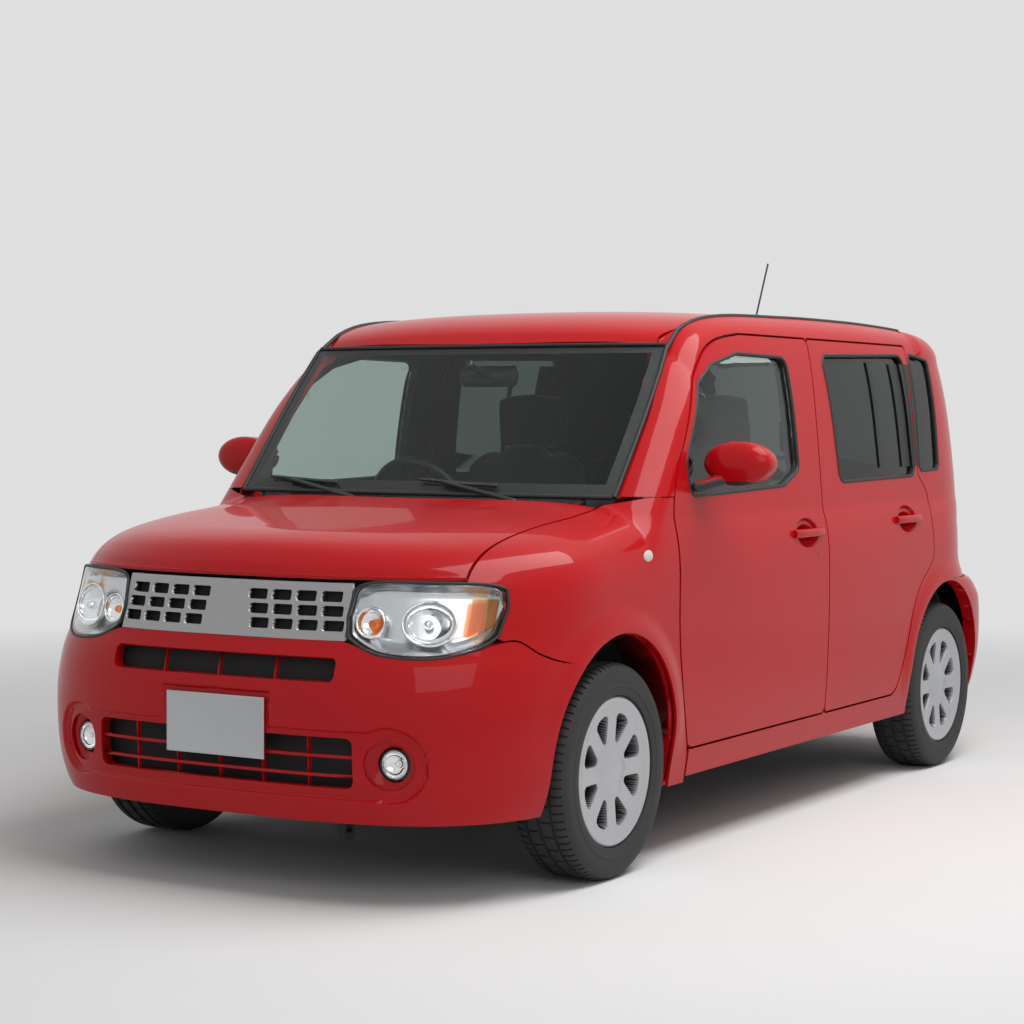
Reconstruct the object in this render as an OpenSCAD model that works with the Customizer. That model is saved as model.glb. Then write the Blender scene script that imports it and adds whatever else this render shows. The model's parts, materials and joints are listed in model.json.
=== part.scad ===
// Boxy compact car with five doors and right-hand drive.
// A body shell in separate panels, opening doors, bonnet and tailgate,
// steered front wheels and a furnished cabin.
// X runs forward, Y to the left, Z up; the ground is Z = 0. Millimetres and degrees.

/* [Body] */
// Overall length of the bodywork
length = 3890; // [3700:10:4100]
// Overall width of the bodywork without the mirrors
width = 1695; // [1600:5:1760]
// Height of the roof crown above the ground
roof_height = 1650; // [1580:5:1720]
// Inner plane of the side walls, measured from the middle of the car
wall_inside = 715; // [700:1:725]
// Thickness of the window frames and pillars above the waist
frame_depth = 48; // [40:1:60]
// Thickness of the roof, bonnet and scuttle panels
panel = 26; // [18:1:34]
// Thickness of the bumper mouldings
moulding = 34; // [26:1:45]

/* [Running gear] */
// Distance between the axles
wheelbase = 2530; // [2480:5:2580]
// Distance from the nose to the front axle
front_overhang = 760; // [740:5:780]
// Distance between the wheel centres on one axle
track = 1475; // [1455:5:1485]
// Outer diameter of the tyres
tyre_dia = 608; // [590:2:620]
// Width of the tyres
tyre_width = 175; // [165:5:185]
// Diameter of the rim under the tyre bead
rim_dia = 381; // [370:1:390]
// Radius of the wheel arches
arch_radius = 340; // [335:1:350]
// Radius of the wheel spindles
spindle = 30; // [25:1:34]
// Radius of the strut top bearing
strut_top = 26; // [22:1:30]
// Radius of the lower ball pin
ball_pin = 9; // [7:0.5:11]
// Radius of the towing eye
tow_eye = 18; // [14:1:20]

/* [Openings] */
// Width of the shut lines
shut_gap = 7; // [5.5:0.5:9]
// Height of the lower edge of the doors
door_bottom = 318; // [305:1:330]
// Radius of the hinge pins
hinge_pin = 5; // [4:0.5:6]
// Half width of the tailgate
tailgate_half = 590; // [570:5:600]
// Lower edge of the tailgate
tailgate_bottom = 708; // [706:1:720]

/* [Fits] */
// Radial play of a pin or spindle in its bore
play = 0.05; // [0.03:0.01:0.08]
// Gap between pieces that are fixed to each other
joint_gap = 0.3; // [0.2:0.05:0.5]

/* [Hidden] */
nose = length / 2;
tail = -length / 2;
half = width / 2;
axle_f = nose - front_overhang;
axle_r = axle_f - wheelbase;
wheel_y = track / 2;
hub_z = tyre_dia / 2;
arch_z = hub_z + 48;
shoulder_z = 700;
nose_start = 1250;
tail_start = -1300;
far = 3000;
red = [0.72, 0.05, 0.06];
black = [0.08, 0.08, 0.09];
steel = [0.55, 0.56, 0.58];
glass = [0.35, 0.45, 0.45, 0.6];

// Profile keys: position, then the value or its offset from a named size.
// Half width of the lower body over height
low_keys = [[170, -82], [230, -54], [300, -33], [400, -21], [520, -15], [660, -12], [800, -13],
    [900, -16], [1100, -22]];
// Half width of the cabin over height below the roof crown
cabin_keys = [[-690, -41], [-590, -50], [-450, -65], [-300, -85], [-170, -111], [-90, -136],
    [-60, -154], [-38, -180], [-24, -207]];
// Front end over height
nose_keys = [[200, -45], [250, -20], [350, -2], [450, 0], [560, -5], [640, -20], [700, -42],
    [840, -76], [866, -90], [900, -108], [945, -155], [970, -225], [1000, -360], [1100, -900]];
// Sharpness of the front corners over height
nose_power = [[200, 3.2], [500, 3.2], [617, 3], [680, 2.8], [865, 2.5], [1000, 2.5]];
// Rear end over height
tail_keys = [[220, 45], [300, 12], [450, 0], [560, 8], [640, 24], [700, 36], [900, 40], [1060, 50],
    [1300, 75], [1500, 105], [1570, 125]];
// Sharpness of the rear corners over height
tail_power = [[200, 4.6], [300, 5.2], [600, 5.2], [660, 4.2], [690, 3.4], [701, 2.8],
    [900, 2.7], [1000, 3.1], [1600, 3.2]];
// Bonnet ridge over length
ridge_keys = [[0, 1085], [880, 1085], [1000, 1051], [1300, 1017], [1600, 985], [1720, 969],
    [1790, 945], [1837, 900], [1855, 866]];
// Roof crown over length
crown_keys = [[-1840, -95], [-1780, -62], [-1680, -38], [-1500, -19], [-1000, -2], [-500, 0],
    [-200, -4], [100, -10], [300, -22], [420, -38], [510, -62], [566, -90], [606, -129]];
// Shut lines over height
door_front_keys = [[300, 738], [480, 790], [665, 822], [850, 817], [1030, 797], [1136, 757],
    [1201, 706], [1389, 566], [1470, 478], [1510, 408], [1536, 320], [1552, 200]];
door_mid_keys = [[300, -257], [507, -259], [752, -261], [995, -270], [1315, -286], [1556, -322]];
door_rear_keys = [[310, -846], [346, -893], [460, -952], [615, -1020], [704, -1096], [750, -1172],
    [790, -1212], [900, -1216], [1010, -1222], [1045, -1196], [1090, -1150], [1318, -1150],
    [1556, -1205]];

function clamp01(t) = min(1, max(0, t));
function smooth(t) = let (s = clamp01(t)) s * s * (3 - 2 * s);
function mix(a, b, t) = a + (b - a) * t;
function steps(a, b, n) = [for (i = [0:n]) mix(a, b, i / n)];
function span_at(k, t, i = 0) = (i >= len(k) - 2 || t < k[i + 1][0]) ? i : span_at(k, t, i + 1);
function slope_at(k, i) = let (a = max(i - 1, 0), b = min(i + 1, len(k) - 1))
    (k[b][1] - k[a][1]) / (k[b][0] - k[a][0]);
// Smooth curve through keys of position and value
function curve(k, t) = let (i = span_at(k, t), h = k[i + 1][0] - k[i][0],
    s = clamp01((t - k[i][0]) / h), m0 = slope_at(k, i) * h, m1 = slope_at(k, i + 1) * h,
    a = k[i][1], b = k[i + 1][1])
    a + s * (m0 + s * (3 * (b - a) - 2 * m0 - m1 + s * (2 * (a - b) + m0 + m1)));
// Rest of a rounded corner of sharpness n after the share u of its run
function rounded(u, n) = u <= 0 ? 1 : u >= 1 ? 0 : pow(1 - pow(u, n), 1 / n);
function soft_max(a, b, k) = let (h = max(k - abs(a - b), 0) / k) max(a, b) + h * h * k / 4;

// Outer skin of the lower body
function low_half(z) = half + curve(low_keys, z);
function nose_x(z) = nose + curve(nose_keys, z);
function tail_x(z) = tail + curve(tail_keys, z);
function shoulder(x, z) = rounded((z - shoulder_z) / (curve(ridge_keys, x) - shoulder_z),
    5 - 0.5 * smooth((x - 800) / 400));
function nose_round(x, z) = rounded((x - nose_start) / (nose_x(z) - nose_start), curve(nose_power, z));
function flare_of(x, z, ax) = let (d = norm([x - ax, z - arch_z]) - arch_radius)
    11 * (1 - smooth((d - 8) / 75)) * smooth((z - 230) / 200);
function low_y(x, z) = low_half(z) * nose_round(x, z) * shoulder(x, z)
    + flare_of(x, z, axle_f) * smooth((1600 - x) / 200) + flare_of(x, z, axle_r);
// Outer skin of the cabin
screen_bow = 180;
function screen_x(z) = 985 - 0.809 * (z - 1053);
function bow_front(y) = screen_bow * (1 - rounded(abs(y) / 729, 3));
function bow_rear(y) = 480 * (1 - rounded(abs(y) / 729, 3));
function roof_z(x, y) = roof_height - 24 * pow(abs(y) / 640, 2.5)
    + curve(crown_keys, x + bow_front(y) * smooth((x - 50) / 450)
        - bow_rear(y) * smooth((-1250 - x) / 400));
function cabin_y(x, z) = let (drop = roof_height - 24 - roof_z(x, 640), s0 = screen_x(z) - screen_bow)
    (half + curve(cabin_keys, z - roof_height + drop * smooth((z - 1250) / 280)))
    * rounded((x - s0) / screen_bow, 3);
function side_y(x, z) = soft_max(low_y(x, z), cabin_y(x, z), 34);
// Plan curve round the tail: share a from the side (0) to the middle (1), depth t under the skin
function tail_point(z, a, t) = let (m = curve(tail_power, z), w = side_y(tail_start, z))
    [tail_start - (tail_start - tail_x(z) - t) * pow(sin(90 * a), 2 / m),
        (w - t) * pow(cos(90 * a), 2 / m), z];
function tail_skin(y, z) = let (m = curve(tail_power, z))
    tail_start - (tail_start - tail_x(z)) * rounded(abs(y) / side_y(tail_start, z), m);
// Plan curve round the nose, the same way
function nose_point(z, a, t) = let (n = curve(nose_power, z), w = low_half(z))
    [nose_start + (nose_x(z) - nose_start - t) * pow(sin(90 * a), 2 / n),
        (w - t) * pow(cos(90 * a), 2 / n), z];
function nose_skin(y, z) = nose_start + (nose_x(z) - nose_start)
    * rounded(abs(y) / low_half(z), curve(nose_power, z));
// Height of the lower body over a point of its plan, found by halving
function top_z(x, y, lo = 600, hi = 1090, n = 24) = let (m = (lo + hi) / 2)
    n == 0 ? m : low_y(x, m) > abs(y) ? top_z(x, y, m, hi, n - 1) : top_z(x, y, lo, m, n - 1);

// Solid between an outer and an inner sheet, both given over the shares us and vs;
// the outer face looks along dv x du.
module shell(us, vs, outer, inner) {
    nu = len(us);
    nv = len(vs);
    n = nu * nv;
    function id(i, j, k) = k * n + i * nv + j;
    function quad(a, b, c, d) = [[a, b, c], [a, c, d]];
    polyhedron(concat([for (u = us) for (v = vs) outer(u, v)], [for (u = us) for (v = vs) inner(u, v)]),
        concat(
            [for (i = [0:nu - 2]) for (j = [0:nv - 2])
                each quad(id(i, j, 0), id(i + 1, j, 0), id(i + 1, j + 1, 0), id(i, j + 1, 0))],
            [for (i = [0:nu - 2]) for (j = [0:nv - 2])
                each quad(id(i, j, 1), id(i, j + 1, 1), id(i + 1, j + 1, 1), id(i + 1, j, 1))],
            [for (i = [0:nu - 2]) each quad(id(i, 0, 0), id(i, 0, 1), id(i + 1, 0, 1), id(i + 1, 0, 0))],
            [for (i = [0:nu - 2])
                each quad(id(i, nv - 1, 0), id(i + 1, nv - 1, 0), id(i + 1, nv - 1, 1), id(i, nv - 1, 1))],
            [for (j = [0:nv - 2]) each quad(id(0, j, 0), id(0, j + 1, 0), id(0, j + 1, 1), id(0, j, 1))],
            [for (j = [0:nv - 2])
                each quad(id(nu - 1, j, 0), id(nu - 1, j, 1), id(nu - 1, j + 1, 1), id(nu - 1, j + 1, 0))]));
}
module right() mirror([0, 1, 0]) children();
module both() { children(); right() children(); }
module box(a, b) translate(a) cube(b - a);
module along_y(y0, y1) translate([0, y1, 0]) rotate([90, 0, 0]) linear_extrude(y1 - y0) children();
module along_x(x0, x1) translate([x0, 0, 0]) rotate([90, 0, 90]) linear_extrude(x1 - x0) children();
module rod(a, b, r) {
    d = b - a;
    translate(a) rotate([0, acos(d[2] / norm(d)), atan2(d[1], d[0])]) cylinder(r = r, h = norm(d), $fn = 32);
}
module rounded_quad(p, r) hull() for (q = p) translate(q) circle(r, $fn = 32);

// Side walls and doors
function wall_in(x, z) = mix(wall_inside, side_y(x, z) - frame_depth, smooth((z - 985) / 60));
door_zs = [door_bottom, 346, 400, 480, 560, 615, 665, 704, 750, 790, 850, 930, 990, 1020, 1045, 1090,
    1136, 1201, 1300, 1389, 1440, 1480, 1510, 1536, 1552];
door_top = 1552;
// Inset of the inner door sheet at the latch edge and along the top and bottom
latch_inset = [60, 26];
sill_inset = 18;
// Extra room at the latch edge and over the sill
latch_ease = 3;
sill_ease = 3;
function door_x(front, z, s) = front
    ? mix(curve(door_mid_keys, z) + shut_gap / 2, curve(door_front_keys, z), s)
    : mix(curve(door_rear_keys, z), curve(door_mid_keys, z) - shut_gap / 2, s);
function door_z(z, k, low = 0) = let (t = (z - door_bottom) / (door_top - door_bottom))
    z + k * (1 - 2 * t) - low * pow(1 - t, 3);
// Point of a door sheet: share s from latch to hinge edge, g the widening, d the lift off the sheet
function door_depth(z) = mix(119, 48, smooth((z - 1000) / 60));
function door_taper(front, z) = mix(latch_inset[front ? 0 : 1], 24, smooth((z - 1000) / 60)) / door_depth(z);
function sill_taper(z) = sill_inset / door_depth(z);
function door_outer(front, s, z, g, d) =
    let (h = door_z(z, -g - d * sill_taper(z), g > 0 ? sill_ease : 0),
        x = door_x(front, z, s) + g * (2 * s - 1) - d * door_taper(front, z) * (1 - s))
    [x, side_y(x, h) + d, h];
function door_inner(front, s, z, g, d) =
    let (h = door_z(z, sill_inset - g + d * sill_taper(z), g > 0 ? sill_ease : 0),
        inset = (d + door_depth(z)) * door_taper(front, z) + (g > 0 ? 0 : latch_ease),
        x = door_x(front, z, s) + g * (2 * s - 1) + inset * (1 - s))
    [x, wall_in(x, h) - d, h];
module door_body(front, g = 0, d = 0, n = 7) shell(steps(0, 1, n), door_zs,
    function (s, z) door_outer(front, s, z, g, d), function (s, z) door_inner(front, s, z, g, d));
hinge_x = [785, -298];
hinge_y = [side_y(785, 640) - 12, side_y(-298, 640) - 12];
hinge_zs = [500, 830];
front_window = [[650, 1098], [655, 1150], [508, 1366], [412, 1416], [240, 1452], [-72, 1448],
    [-64, 1150], [30, 1114]];
rear_window = [[-448, 1462], [-470, 1116], [-1080, 1124], [-1102, 1478]];
module front_pane(r) along_y(400, 1000) rounded_quad(front_window, r);
module rear_pane(r) along_y(400, 1000) rounded_quad(rear_window, r);
module hinge_pocket(i) for (z = hinge_zs) {
    box([hinge_x[i] - 11, wall_inside - 40, z - 24], [hinge_x[i] + 90, hinge_y[i] + 7, z + 24]);
    translate([hinge_x[i], hinge_y[i], z - 40]) cylinder(r = hinge_pin + play, h = 80, $fn = 48);
}
module handle(x, z) {
    hull() for (i = [-1, 1]) translate([x + 95 * i, side_y(x, z) + 4, z]) sphere(12, $fn = 20);
    for (i = [-1, 1]) translate([x + 95 * i, side_y(x, z), z]) rotate([90, 0, 0])
        cylinder(r = 10, h = 40, $fn = 24);
}
module handle_cup(x, z) translate([x, side_y(x, z) + 26, z]) scale([2, 1, 1.15]) sphere(50, $fn = 36);
module front_door() {
    difference() {
        door_body(true);
        front_pane(36);
        hinge_pocket(0);
        handle_cup(-105, 918);
        box([-60, 600, 560], [560, wall_inside + 55, 640]);
    }
    handle(-105, 918);
}
module rear_door() {
    difference() {
        door_body(false);
        rear_pane(36);
        hinge_pocket(1);
        handle_cup(-985, 932);
        box([-820, 600, 560], [-400, wall_inside + 55, 640]);
    }
    handle(-985, 932);
}
module pane(x0, x1, z0, z1, nx, nz) shell(steps(x0, x1, nx), steps(z0, z1, nz),
    function (x, z) [x, side_y(x, z) - 12, z], function (x, z) [x, side_y(x, z) - 17, z]);
module front_glass() intersection() { pane(-240, 720, 1040, 1520, 8, 8); front_pane(36 - joint_gap); }
module rear_glass() intersection() { pane(-1120, -340, 1040, 1520, 8, 8); rear_pane(36 - joint_gap); }
module mirror_body() {
    hull() {
        translate([618, 915, 1155]) scale([0.5, 1.5, 0.92]) sphere(72, $fn = 32);
        translate([572, 915, 1155]) scale([0.24, 1.52, 0.9]) sphere(72, $fn = 32);
    }
    hull() {
        translate([630, 870, 1108]) sphere(18, $fn = 20);
        translate([672, side_y(672, 1085) + 13.25, 1085]) sphere(16, $fn = 20);
    }
}

// Side wall: sill, pillars, cantrail and rear quarter in one pressing
function side_top(x) = roof_z(x, 640);
function pillar_front(z) = screen_x(z) - screen_bow - 6.5
    + screen_bow * rounded(mix(0.8375, 0.88, clamp01((z - 1053) / 456)), 3);
// Height of the pillar foot, where the wing ends and the pillar begins
pillar_foot = 1062;
function side_front(z) = z < 300 ? 735 : z < pillar_foot ? curve(door_front_keys, z) - 60 : pillar_front(z);
side_zs = [232, 256, 299, 301, 400, 520, 620, 690, 720, 800, 900, 990, 1045, pillar_foot - 1.5, pillar_foot,
    1090, 1141, 1201, 1300, 1389, 1450, 1500, 1540, 1570, 1595, 1612, 1626];
side_us = concat(steps(-1, -0.125, 7), steps(0, 1, 16));
function side_peak(u, z = 1540, n = 5) = n == 0 ? z
    : side_peak(u, side_top(mix(tail_start, side_front(z), u)), n - 1);
function side_z(u, v) = v < 1141.5 ? v : mix(1141, side_peak(max(u, 0)), (v - 1141) / 485);
// Plan line where the roof meets the rear quarter
function roof_edge(a) = let (x = tail_start - 500 * pow(sin(90 * a), 0.64), y = 640 * pow(cos(90 * a), 0.64))
    [x, y, roof_z(x, y)];
function quarter(u, v, t) = let (z = min(v, 1500), m = curve(tail_power, z), w = side_y(tail_start, z) - t,
    a = -u * acos(pow(min(1, (tailgate_half + shut_gap) / w), m / 2)) / 90, p = tail_point(z, a, t),
    f = 90 * clamp01((v - 1500) / 126), e = roof_edge(a) - [0, 0, t > 0 ? 29 : 0])
    v <= 1500 ? p : [mix(p[0], e[0], 1 - cos(f)), mix(p[1], e[1], 1 - cos(f)), mix(p[2], e[2], sin(f))];
function side_outer(u, v) = u < 0 ? quarter(u, v, 0)
    : let (z = side_z(u, v), x = mix(tail_start, side_front(z), u)) [x, side_y(x, z), z];
function side_inner(u, v) = u < 0
    ? let (z = min(v, 1500)) quarter(u, v, mix(side_y(tail_start, z) - wall_in(tail_start, z), 52, -u))
    : let (z = side_z(u, v), x = mix(tail_start, side_front(z), u), e = smooth((v - 1500) / 126))
        [x, mix(wall_in(x, z), side_y(x, z) - joint_gap, e), z - 29 * e];
// Wheel arch: round above its centre, with straight legs below
module arch(ax, r) {
    translate([ax, 400, arch_z]) rotate([-90, 0, 0]) cylinder(r = r, h = 600, $fn = 72);
    box([ax - r + 2, 400, 0], [ax + r - 2, 1000, arch_z]);
}
quarter_window = [[-1197, 1126], [-1338, 1130], [-1372, 1482], [-1238, 1498]];
module quarter_pane(r) along_y(400, 1000) rounded_quad(quarter_window, r);
module side_wall() difference() {
    shell(side_us, side_zs, function (u, v) side_outer(u, v), function (u, v) side_inner(u, v));
    door_body(true, shut_gap, 24);
    door_body(false, shut_gap, 24);
    arch(axle_r, arch_radius);
    box([-far, 400, 0], [axle_r - 60, 1000, bumper_seam]);
}
// Rear bumper takes the corner below its seam
bumper_seam = 700;
module body_side_left() color(red) difference() {
    side_wall();
    quarter_pane(22);
}
module body_side_right() color(red) right() side_wall();
module quarter_glass() color(glass) intersection() {
    shell(steps(-0.4, 0, 4), [1090, 1141, 1201, 1300, 1389, 1450, 1500],
        function (u, v) quarter(u, v, 10), function (u, v) quarter(u, v, 15));
    quarter_pane(22 - joint_gap);
}
module roof() color(red) shell(steps(-1, 1, 12), steps(-1, 1, 22),
    function (s, t) roof_pt(s, t, 0), function (s, t) roof_pt(s, t, panel));
function roof_row(t) = mix(tail_start, 606, pow(sin(90 * t), 0.8));
function roof_half(x) = min(640, cabin_y(x, roof_z(x, 640))) - 4 * joint_gap;
function roof_pt(s, t, d) = t < 0
    ? let (a = min(-90 * t, 62), y = (638 - 4 * joint_gap) * s * pow(cos(a), 0.64),
        x = tail_start - 496 * pow(sin(a), 0.64) - (t < -0.689 ? 60 * (-t - 0.689) : 0))
        [x, y, roof_z(x, y) - d]
    : let (x = roof_row(t) - bow_front(640 * s) * smooth(t * 1.3 - 0.3), y = roof_half(x) * s)
        [x - 1.3 * d * smooth((t - 0.75) / 0.25), y - 2 * s * d * smooth((t - 0.5) / 0.3), roof_z(x, y) - d];

// Front wings
fender_front_keys = [[300, 1440], [626, 1456], [680, 1530], [735, 1618], [790, 1626], [840, 1634],
    [872, 1700]];
hood_half = 640;
function hood_line(x) = top_z(x, hood_half + shut_gap);
// Extra room behind the front door's leading edge
wing_ease = 3;
function fender_x(u, z) = mix(curve(door_front_keys, min(z, 1052)) + shut_gap + wing_ease,
    curve(fender_front_keys, min(z, 872)), u);
function fender_top(x) = min(hood_line(x), pillar_foot - shut_gap);
function fender_z(u, v, z = 640, n = 6) = n == 0 ? z
    : fender_z(u, v, mix(215, fender_top(fender_x(u, z)), v), n - 1);
function fender_outer(u, v) = let (z = fender_z(u, v), x = fender_x(u, z)) [x, low_y(x, z), z];
function fender_inner(u, v) = let (z = fender_z(u, v), x = fender_x(u, z), e = smooth((v - 0.8) / 0.2))
    [x, mix(min(wall_inside, low_y(x, z) - 34), min(hood_half + shut_gap - 1, low_y(x, z) - 1), e),
        z - 40 * e];
// Rolled lip along the edge of a wheel arch
module arch_lip(ax, a0, a1) for (i = [0:11]) hull() for (j = [0, 1])
    let (a = mix(a0, a1, (i + j) / 12), r = arch_radius + 2.4, x = ax + r * cos(a), z = arch_z + r * sin(a))
        translate([x, side_y(x, z) - 16, z]) rotate([0, -a, 0]) cube([10, 20, 0.5], center = true);
module fender() {
    arch_lip(axle_f, 32, 178);
    fender_skin();
}
module fender_skin() difference() {
    shell(steps(0, 1, 12), concat(steps(0, 0.8, 13), steps(0.84, 1, 5)),
        function (u, v) fender_outer(u, v), function (u, v) fender_inner(u, v));
    arch(axle_f, arch_radius);
    box([600, 600, 100], [738, 900, 300]);
    lamp_space();
}
module fender_left() color(red) fender();
module fender_right() color(red) right() fender();

// Bonnet, hinged at the rear edge of its skin
hood_rear = 1030;
function hood_rear_x(y) = hood_rear - 42 * pow(abs(y) / hood_half, 2);
function hood_x(y, t) = mix(hood_rear_x(y), nose_skin(y, 868) - 1, sin(90 * t));
function hood_pt(s, t, d) = let (y = hood_half * s, x = hood_x(y, t), z = max(868, top_z(x, y)))
    [x - d * 1.6 * smooth((t - 0.7) / 0.3), y * (1 - d / 3000),
        z - d * (1 - 0.75 * smooth((t - 0.75) / 0.25))];
bonnet_axis = [955, 0, 1040];
module bonnet() color(red) {
    shell(steps(-1, 1, 14), steps(0, 1, 14),
        function (s, t) hood_pt(s, t, 0), function (s, t) hood_pt(s, t, panel));
    both() difference() {
        hull() {
            translate([bonnet_axis[0], 560, bonnet_axis[2]]) rotate([-90, 0, 0])
                cylinder(r = 11, h = 14, $fn = 32);
            box([1010, 560, 1008], [1050, 574, 1026]);
        }
        translate([bonnet_axis[0], 500, bonnet_axis[2]]) rotate([-90, 0, 0])
            cylinder(r = hinge_pin + play, h = 200, $fn = 48);
    }
}
// Scuttle between bonnet and windscreen
module scuttle() color(black) difference() {
    union() {
        shell(steps(-1, 1, 12), [0, 1], function (s, t) let (y = 640 * s)
                [t == 0 ? 905 - 30 * s * s : hood_rear_x(min(abs(y), hood_half)) - shut_gap, y, 1034],
            function (s, t) let (y = 640 * s)
                [t == 0 ? 905 - 30 * s * s : hood_rear_x(min(abs(y), hood_half)) - shut_gap, y, 1000]);
        both() translate([bonnet_axis[0], 575, bonnet_axis[2]]) rotate([-90, 0, 0])
            cylinder(r = 11, h = 10, $fn = 32);
        both() box([bonnet_axis[0] - 11, 575, 1010], [bonnet_axis[0] + 11, 585, bonnet_axis[2]]);
    }
    both() box([938, 553, 900], [1100, 574.5, 1200]);
}

// Front bumper moulding and what it carries
function bumper_top(y) = curve([[0, 700], [372, 700], [400, 694], [480, 668], [600, 660], [690, 676],
    [760, 700], [800, 660], [836, 624], [900, 600]], abs(y));
bumper_as = concat(steps(0.13, 0.46, 5), steps(0.5, 0.62, 4), steps(0.66, 0.96, 8));
bumper_ss = concat([for (a = bumper_as) a - 1], [0],
    [for (i = [len(bumper_as) - 1:-1:0]) 1 - bumper_as[i]]);
bumper_vs = [0, 0.04, 0.1, 0.135, 0.17, 0.26, 0.36, 0.46, 0.5, 0.53, 0.6, 0.68, 0.72, 0.8, 0.9, 1];
// Dish round the lower intake and the fog lamps, with a flat behind the number plate
fog = [1845, 522, 382];
fog_radius = 46;
dish_depth = 13;
dish_mid = 378;
function dish(y, z) = let (lobe = norm([abs(y) - fog[1], z - fog[2]]), ends = 1 - smooth((lobe - 92) / 14),
    bar = (1 - smooth((abs(y) - 500) / 14)) * (1 - smooth((abs(z - dish_mid) - 84) / 12)),
    back = (1 - smooth((abs(y) - 176) / 10)) * (1 - smooth((z - 556) / 9)) * smooth((z - dish_mid) / 30))
    dish_depth * max(ends, bar, back);
function bumper_pt(s, v, t) = let (a = 1 - abs(s), y0 = nose_point(600, a, 0)[1],
    z = mix(222, bumper_top(y0) - joint_gap, v), p = nose_point(z, a, t + dish(nose_point(z, a, 0)[1], z)))
    [p[0], p[1] * (s < 0 ? -1 : 1), z];
intake = [405, 338, 428, 22];
slot = [355, 612, 640, 18];
module mouth(m) along_x(1500, 2100)
    rounded_quad([[-m[0], m[1]], [m[0], m[1]], [m[0], m[2]], [-m[0], m[2]]], m[3]);
bar_depth = 12;
// Level bar across the intake, under the skin by d
module level_bar(z, d) shell(steps(z - 4, z + 4, 1), steps(-1, 1, 12),
    function (z, s) let (y = 440 * s) [nose_skin(y, z) - d, y, z],
    function (z, s) let (y = 440 * s) [nose_skin(y, z) - d - bar_depth, y, z]);
module upright(y, z0, z1, d) hull() for (z = [z0, z1])
    translate([nose_skin(y, z) - d - bar_depth, y - 2, z]) cube([bar_depth, 4, 1]);
module front_bumper() color(red) {
    difference() {
        shell(bumper_vs, bumper_ss,
            function (v, s) bumper_pt(s, v, 0), function (v, s) bumper_pt(s, v, moulding));
        both() arch(axle_f, arch_radius);
        both() lamp_space();
        mouth(intake);
        mouth(slot);
        both() translate([1500, fog[1], fog[2]]) rotate([0, 90, 0])
            cylinder(r = fog_radius, h = 600, $fn = 48);
        both() translate(fog) rotate([0, 90, 8])
            cylinder(r1 = fog_radius, r2 = 2 * fog_radius, h = 58, $fn = 48);
    }
    for (z = [348, 399]) level_bar(z, dish_depth + 9);
    for (i = [-2:2]) upright(145 * i, intake[1] - 30, intake[2] + 30, dish_depth + 11);
    for (i = [-1:1]) upright(187 * i, slot[1] - 24, slot[2] + 24, 11);
}
module fog_lamps() color(steel) both() translate([fog[0] - 85, fog[1], fog[2]]) rotate([0, 90, 0])
    rotate_extrude($fn = 48) polygon([[0, 0], [28, 0], [fog_radius - 8, 45], [fog_radius - joint_gap, 52],
        [fog_radius - joint_gap, 80], [38, 86], [24, 91], [0, 94]]);
module grille() color(steel) difference() {
    shell(steps(0, 1, 4), steps(-1, 1, 16),
        function (v, s) let (z = mix(700.7, 850, v), y = 378 * s) [nose_skin(y, z) - 3, y, z],
        function (v, s) let (z = mix(700.7, 850, v), y = 378 * s) [nose_skin(y, z) - 23, y, z]);
    for (r = [0:2], c = [0:3]) both() along_x(1500, 2100)
        translate([112 + 76 * c - 8 * r, 738 + 38 * r]) polygon([[-31, -10], [-28, -14], [28, -14], [31, -10],
            [31, 10], [28, 14], [-28, 14], [-31, 10]]);
}
// Lamp outline: ends rounded; g widens it for the aperture
lamp_in = 384;
lamp_out = 734;
function lamp_z(s, k, g) = let (y = mix(lamp_in, lamp_out, s), e = rounded(abs(2 * s - 1), 5))
    mix(mix(762, 790, s), (k > 0 ? mix(846, 838, s) : bumper_top(y) + 4), e) + k * g;
function lamp_pt(s, v, t, g) = let (y = mix(lamp_in - g, lamp_out + g, s),
    z = mix(lamp_z(s, -1, g), lamp_z(s, 1, g), v))
    [nose_skin(y, z) - t * (1 - 0.35 * s * s) - 2, y - t * 0.85 * s * s, z];
module lamp(t0, t1, g) shell(steps(0, 1, 6), steps(0, 1, 16),
    function (v, s) lamp_pt(s, v, t0, g), function (v, s) lamp_pt(s, v, t1, g));
module headlamp() lamp(0, 60, 0);
module lamp_space() lamp(-20, 74, 0.6);
module headlamps() color(glass) both() headlamp();

// Windscreen
function screen_half(z) = mix(0.8375, 0.88, clamp01((z - 1053) / 456)) * cabin_y(-400, z);
function screen_pt(s, z, t) = let (y = screen_half(z) * s)
    [screen_x(z) - screen_bow + screen_bow * rounded(abs(y) / cabin_y(-400, z), 3) - t, y, z];
module windscreen() color(glass) shell(steps(1062, 1511, 6), steps(-1, 1, 16),
    function (z, s) screen_pt(s, z, 0), function (z, s) screen_pt(s, z, 6));
wiper_arms = [[-250, -560], [330, 20]];
function on_screen(y, z, d) = [screen_pt(y / screen_half(z), z, 0)[0] + d, y, z];
module ball_at(p, r) translate(p) sphere(r, $fn = 16);
module wipers() color(black) for (w = wiper_arms) {
    hull() {
        ball_at(on_screen(w[0] - 40, 1086, 13), 6);
        ball_at(on_screen(w[1], 1100, 13), 5);
    }
    hull() {
        ball_at([998, w[0] + 40, 1044], 8);
        ball_at(on_screen(w[0] - 230, 1096, 20), 6);
    }
    translate([998, w[0] + 40, 1034 + joint_gap]) cylinder(r = 9, h = 12, $fn = 24);
}
module aerial() color(black) {
    translate([-1430, 0, roof_z(-1430, 0) + 0.9]) cylinder(r1 = 26, r2 = 12, h = 26, $fn = 32);
    rod([-1435, 0, roof_z(-1430, 0) + 12], [-1561, 0, roof_height + 248], 3.5);
}
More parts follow.
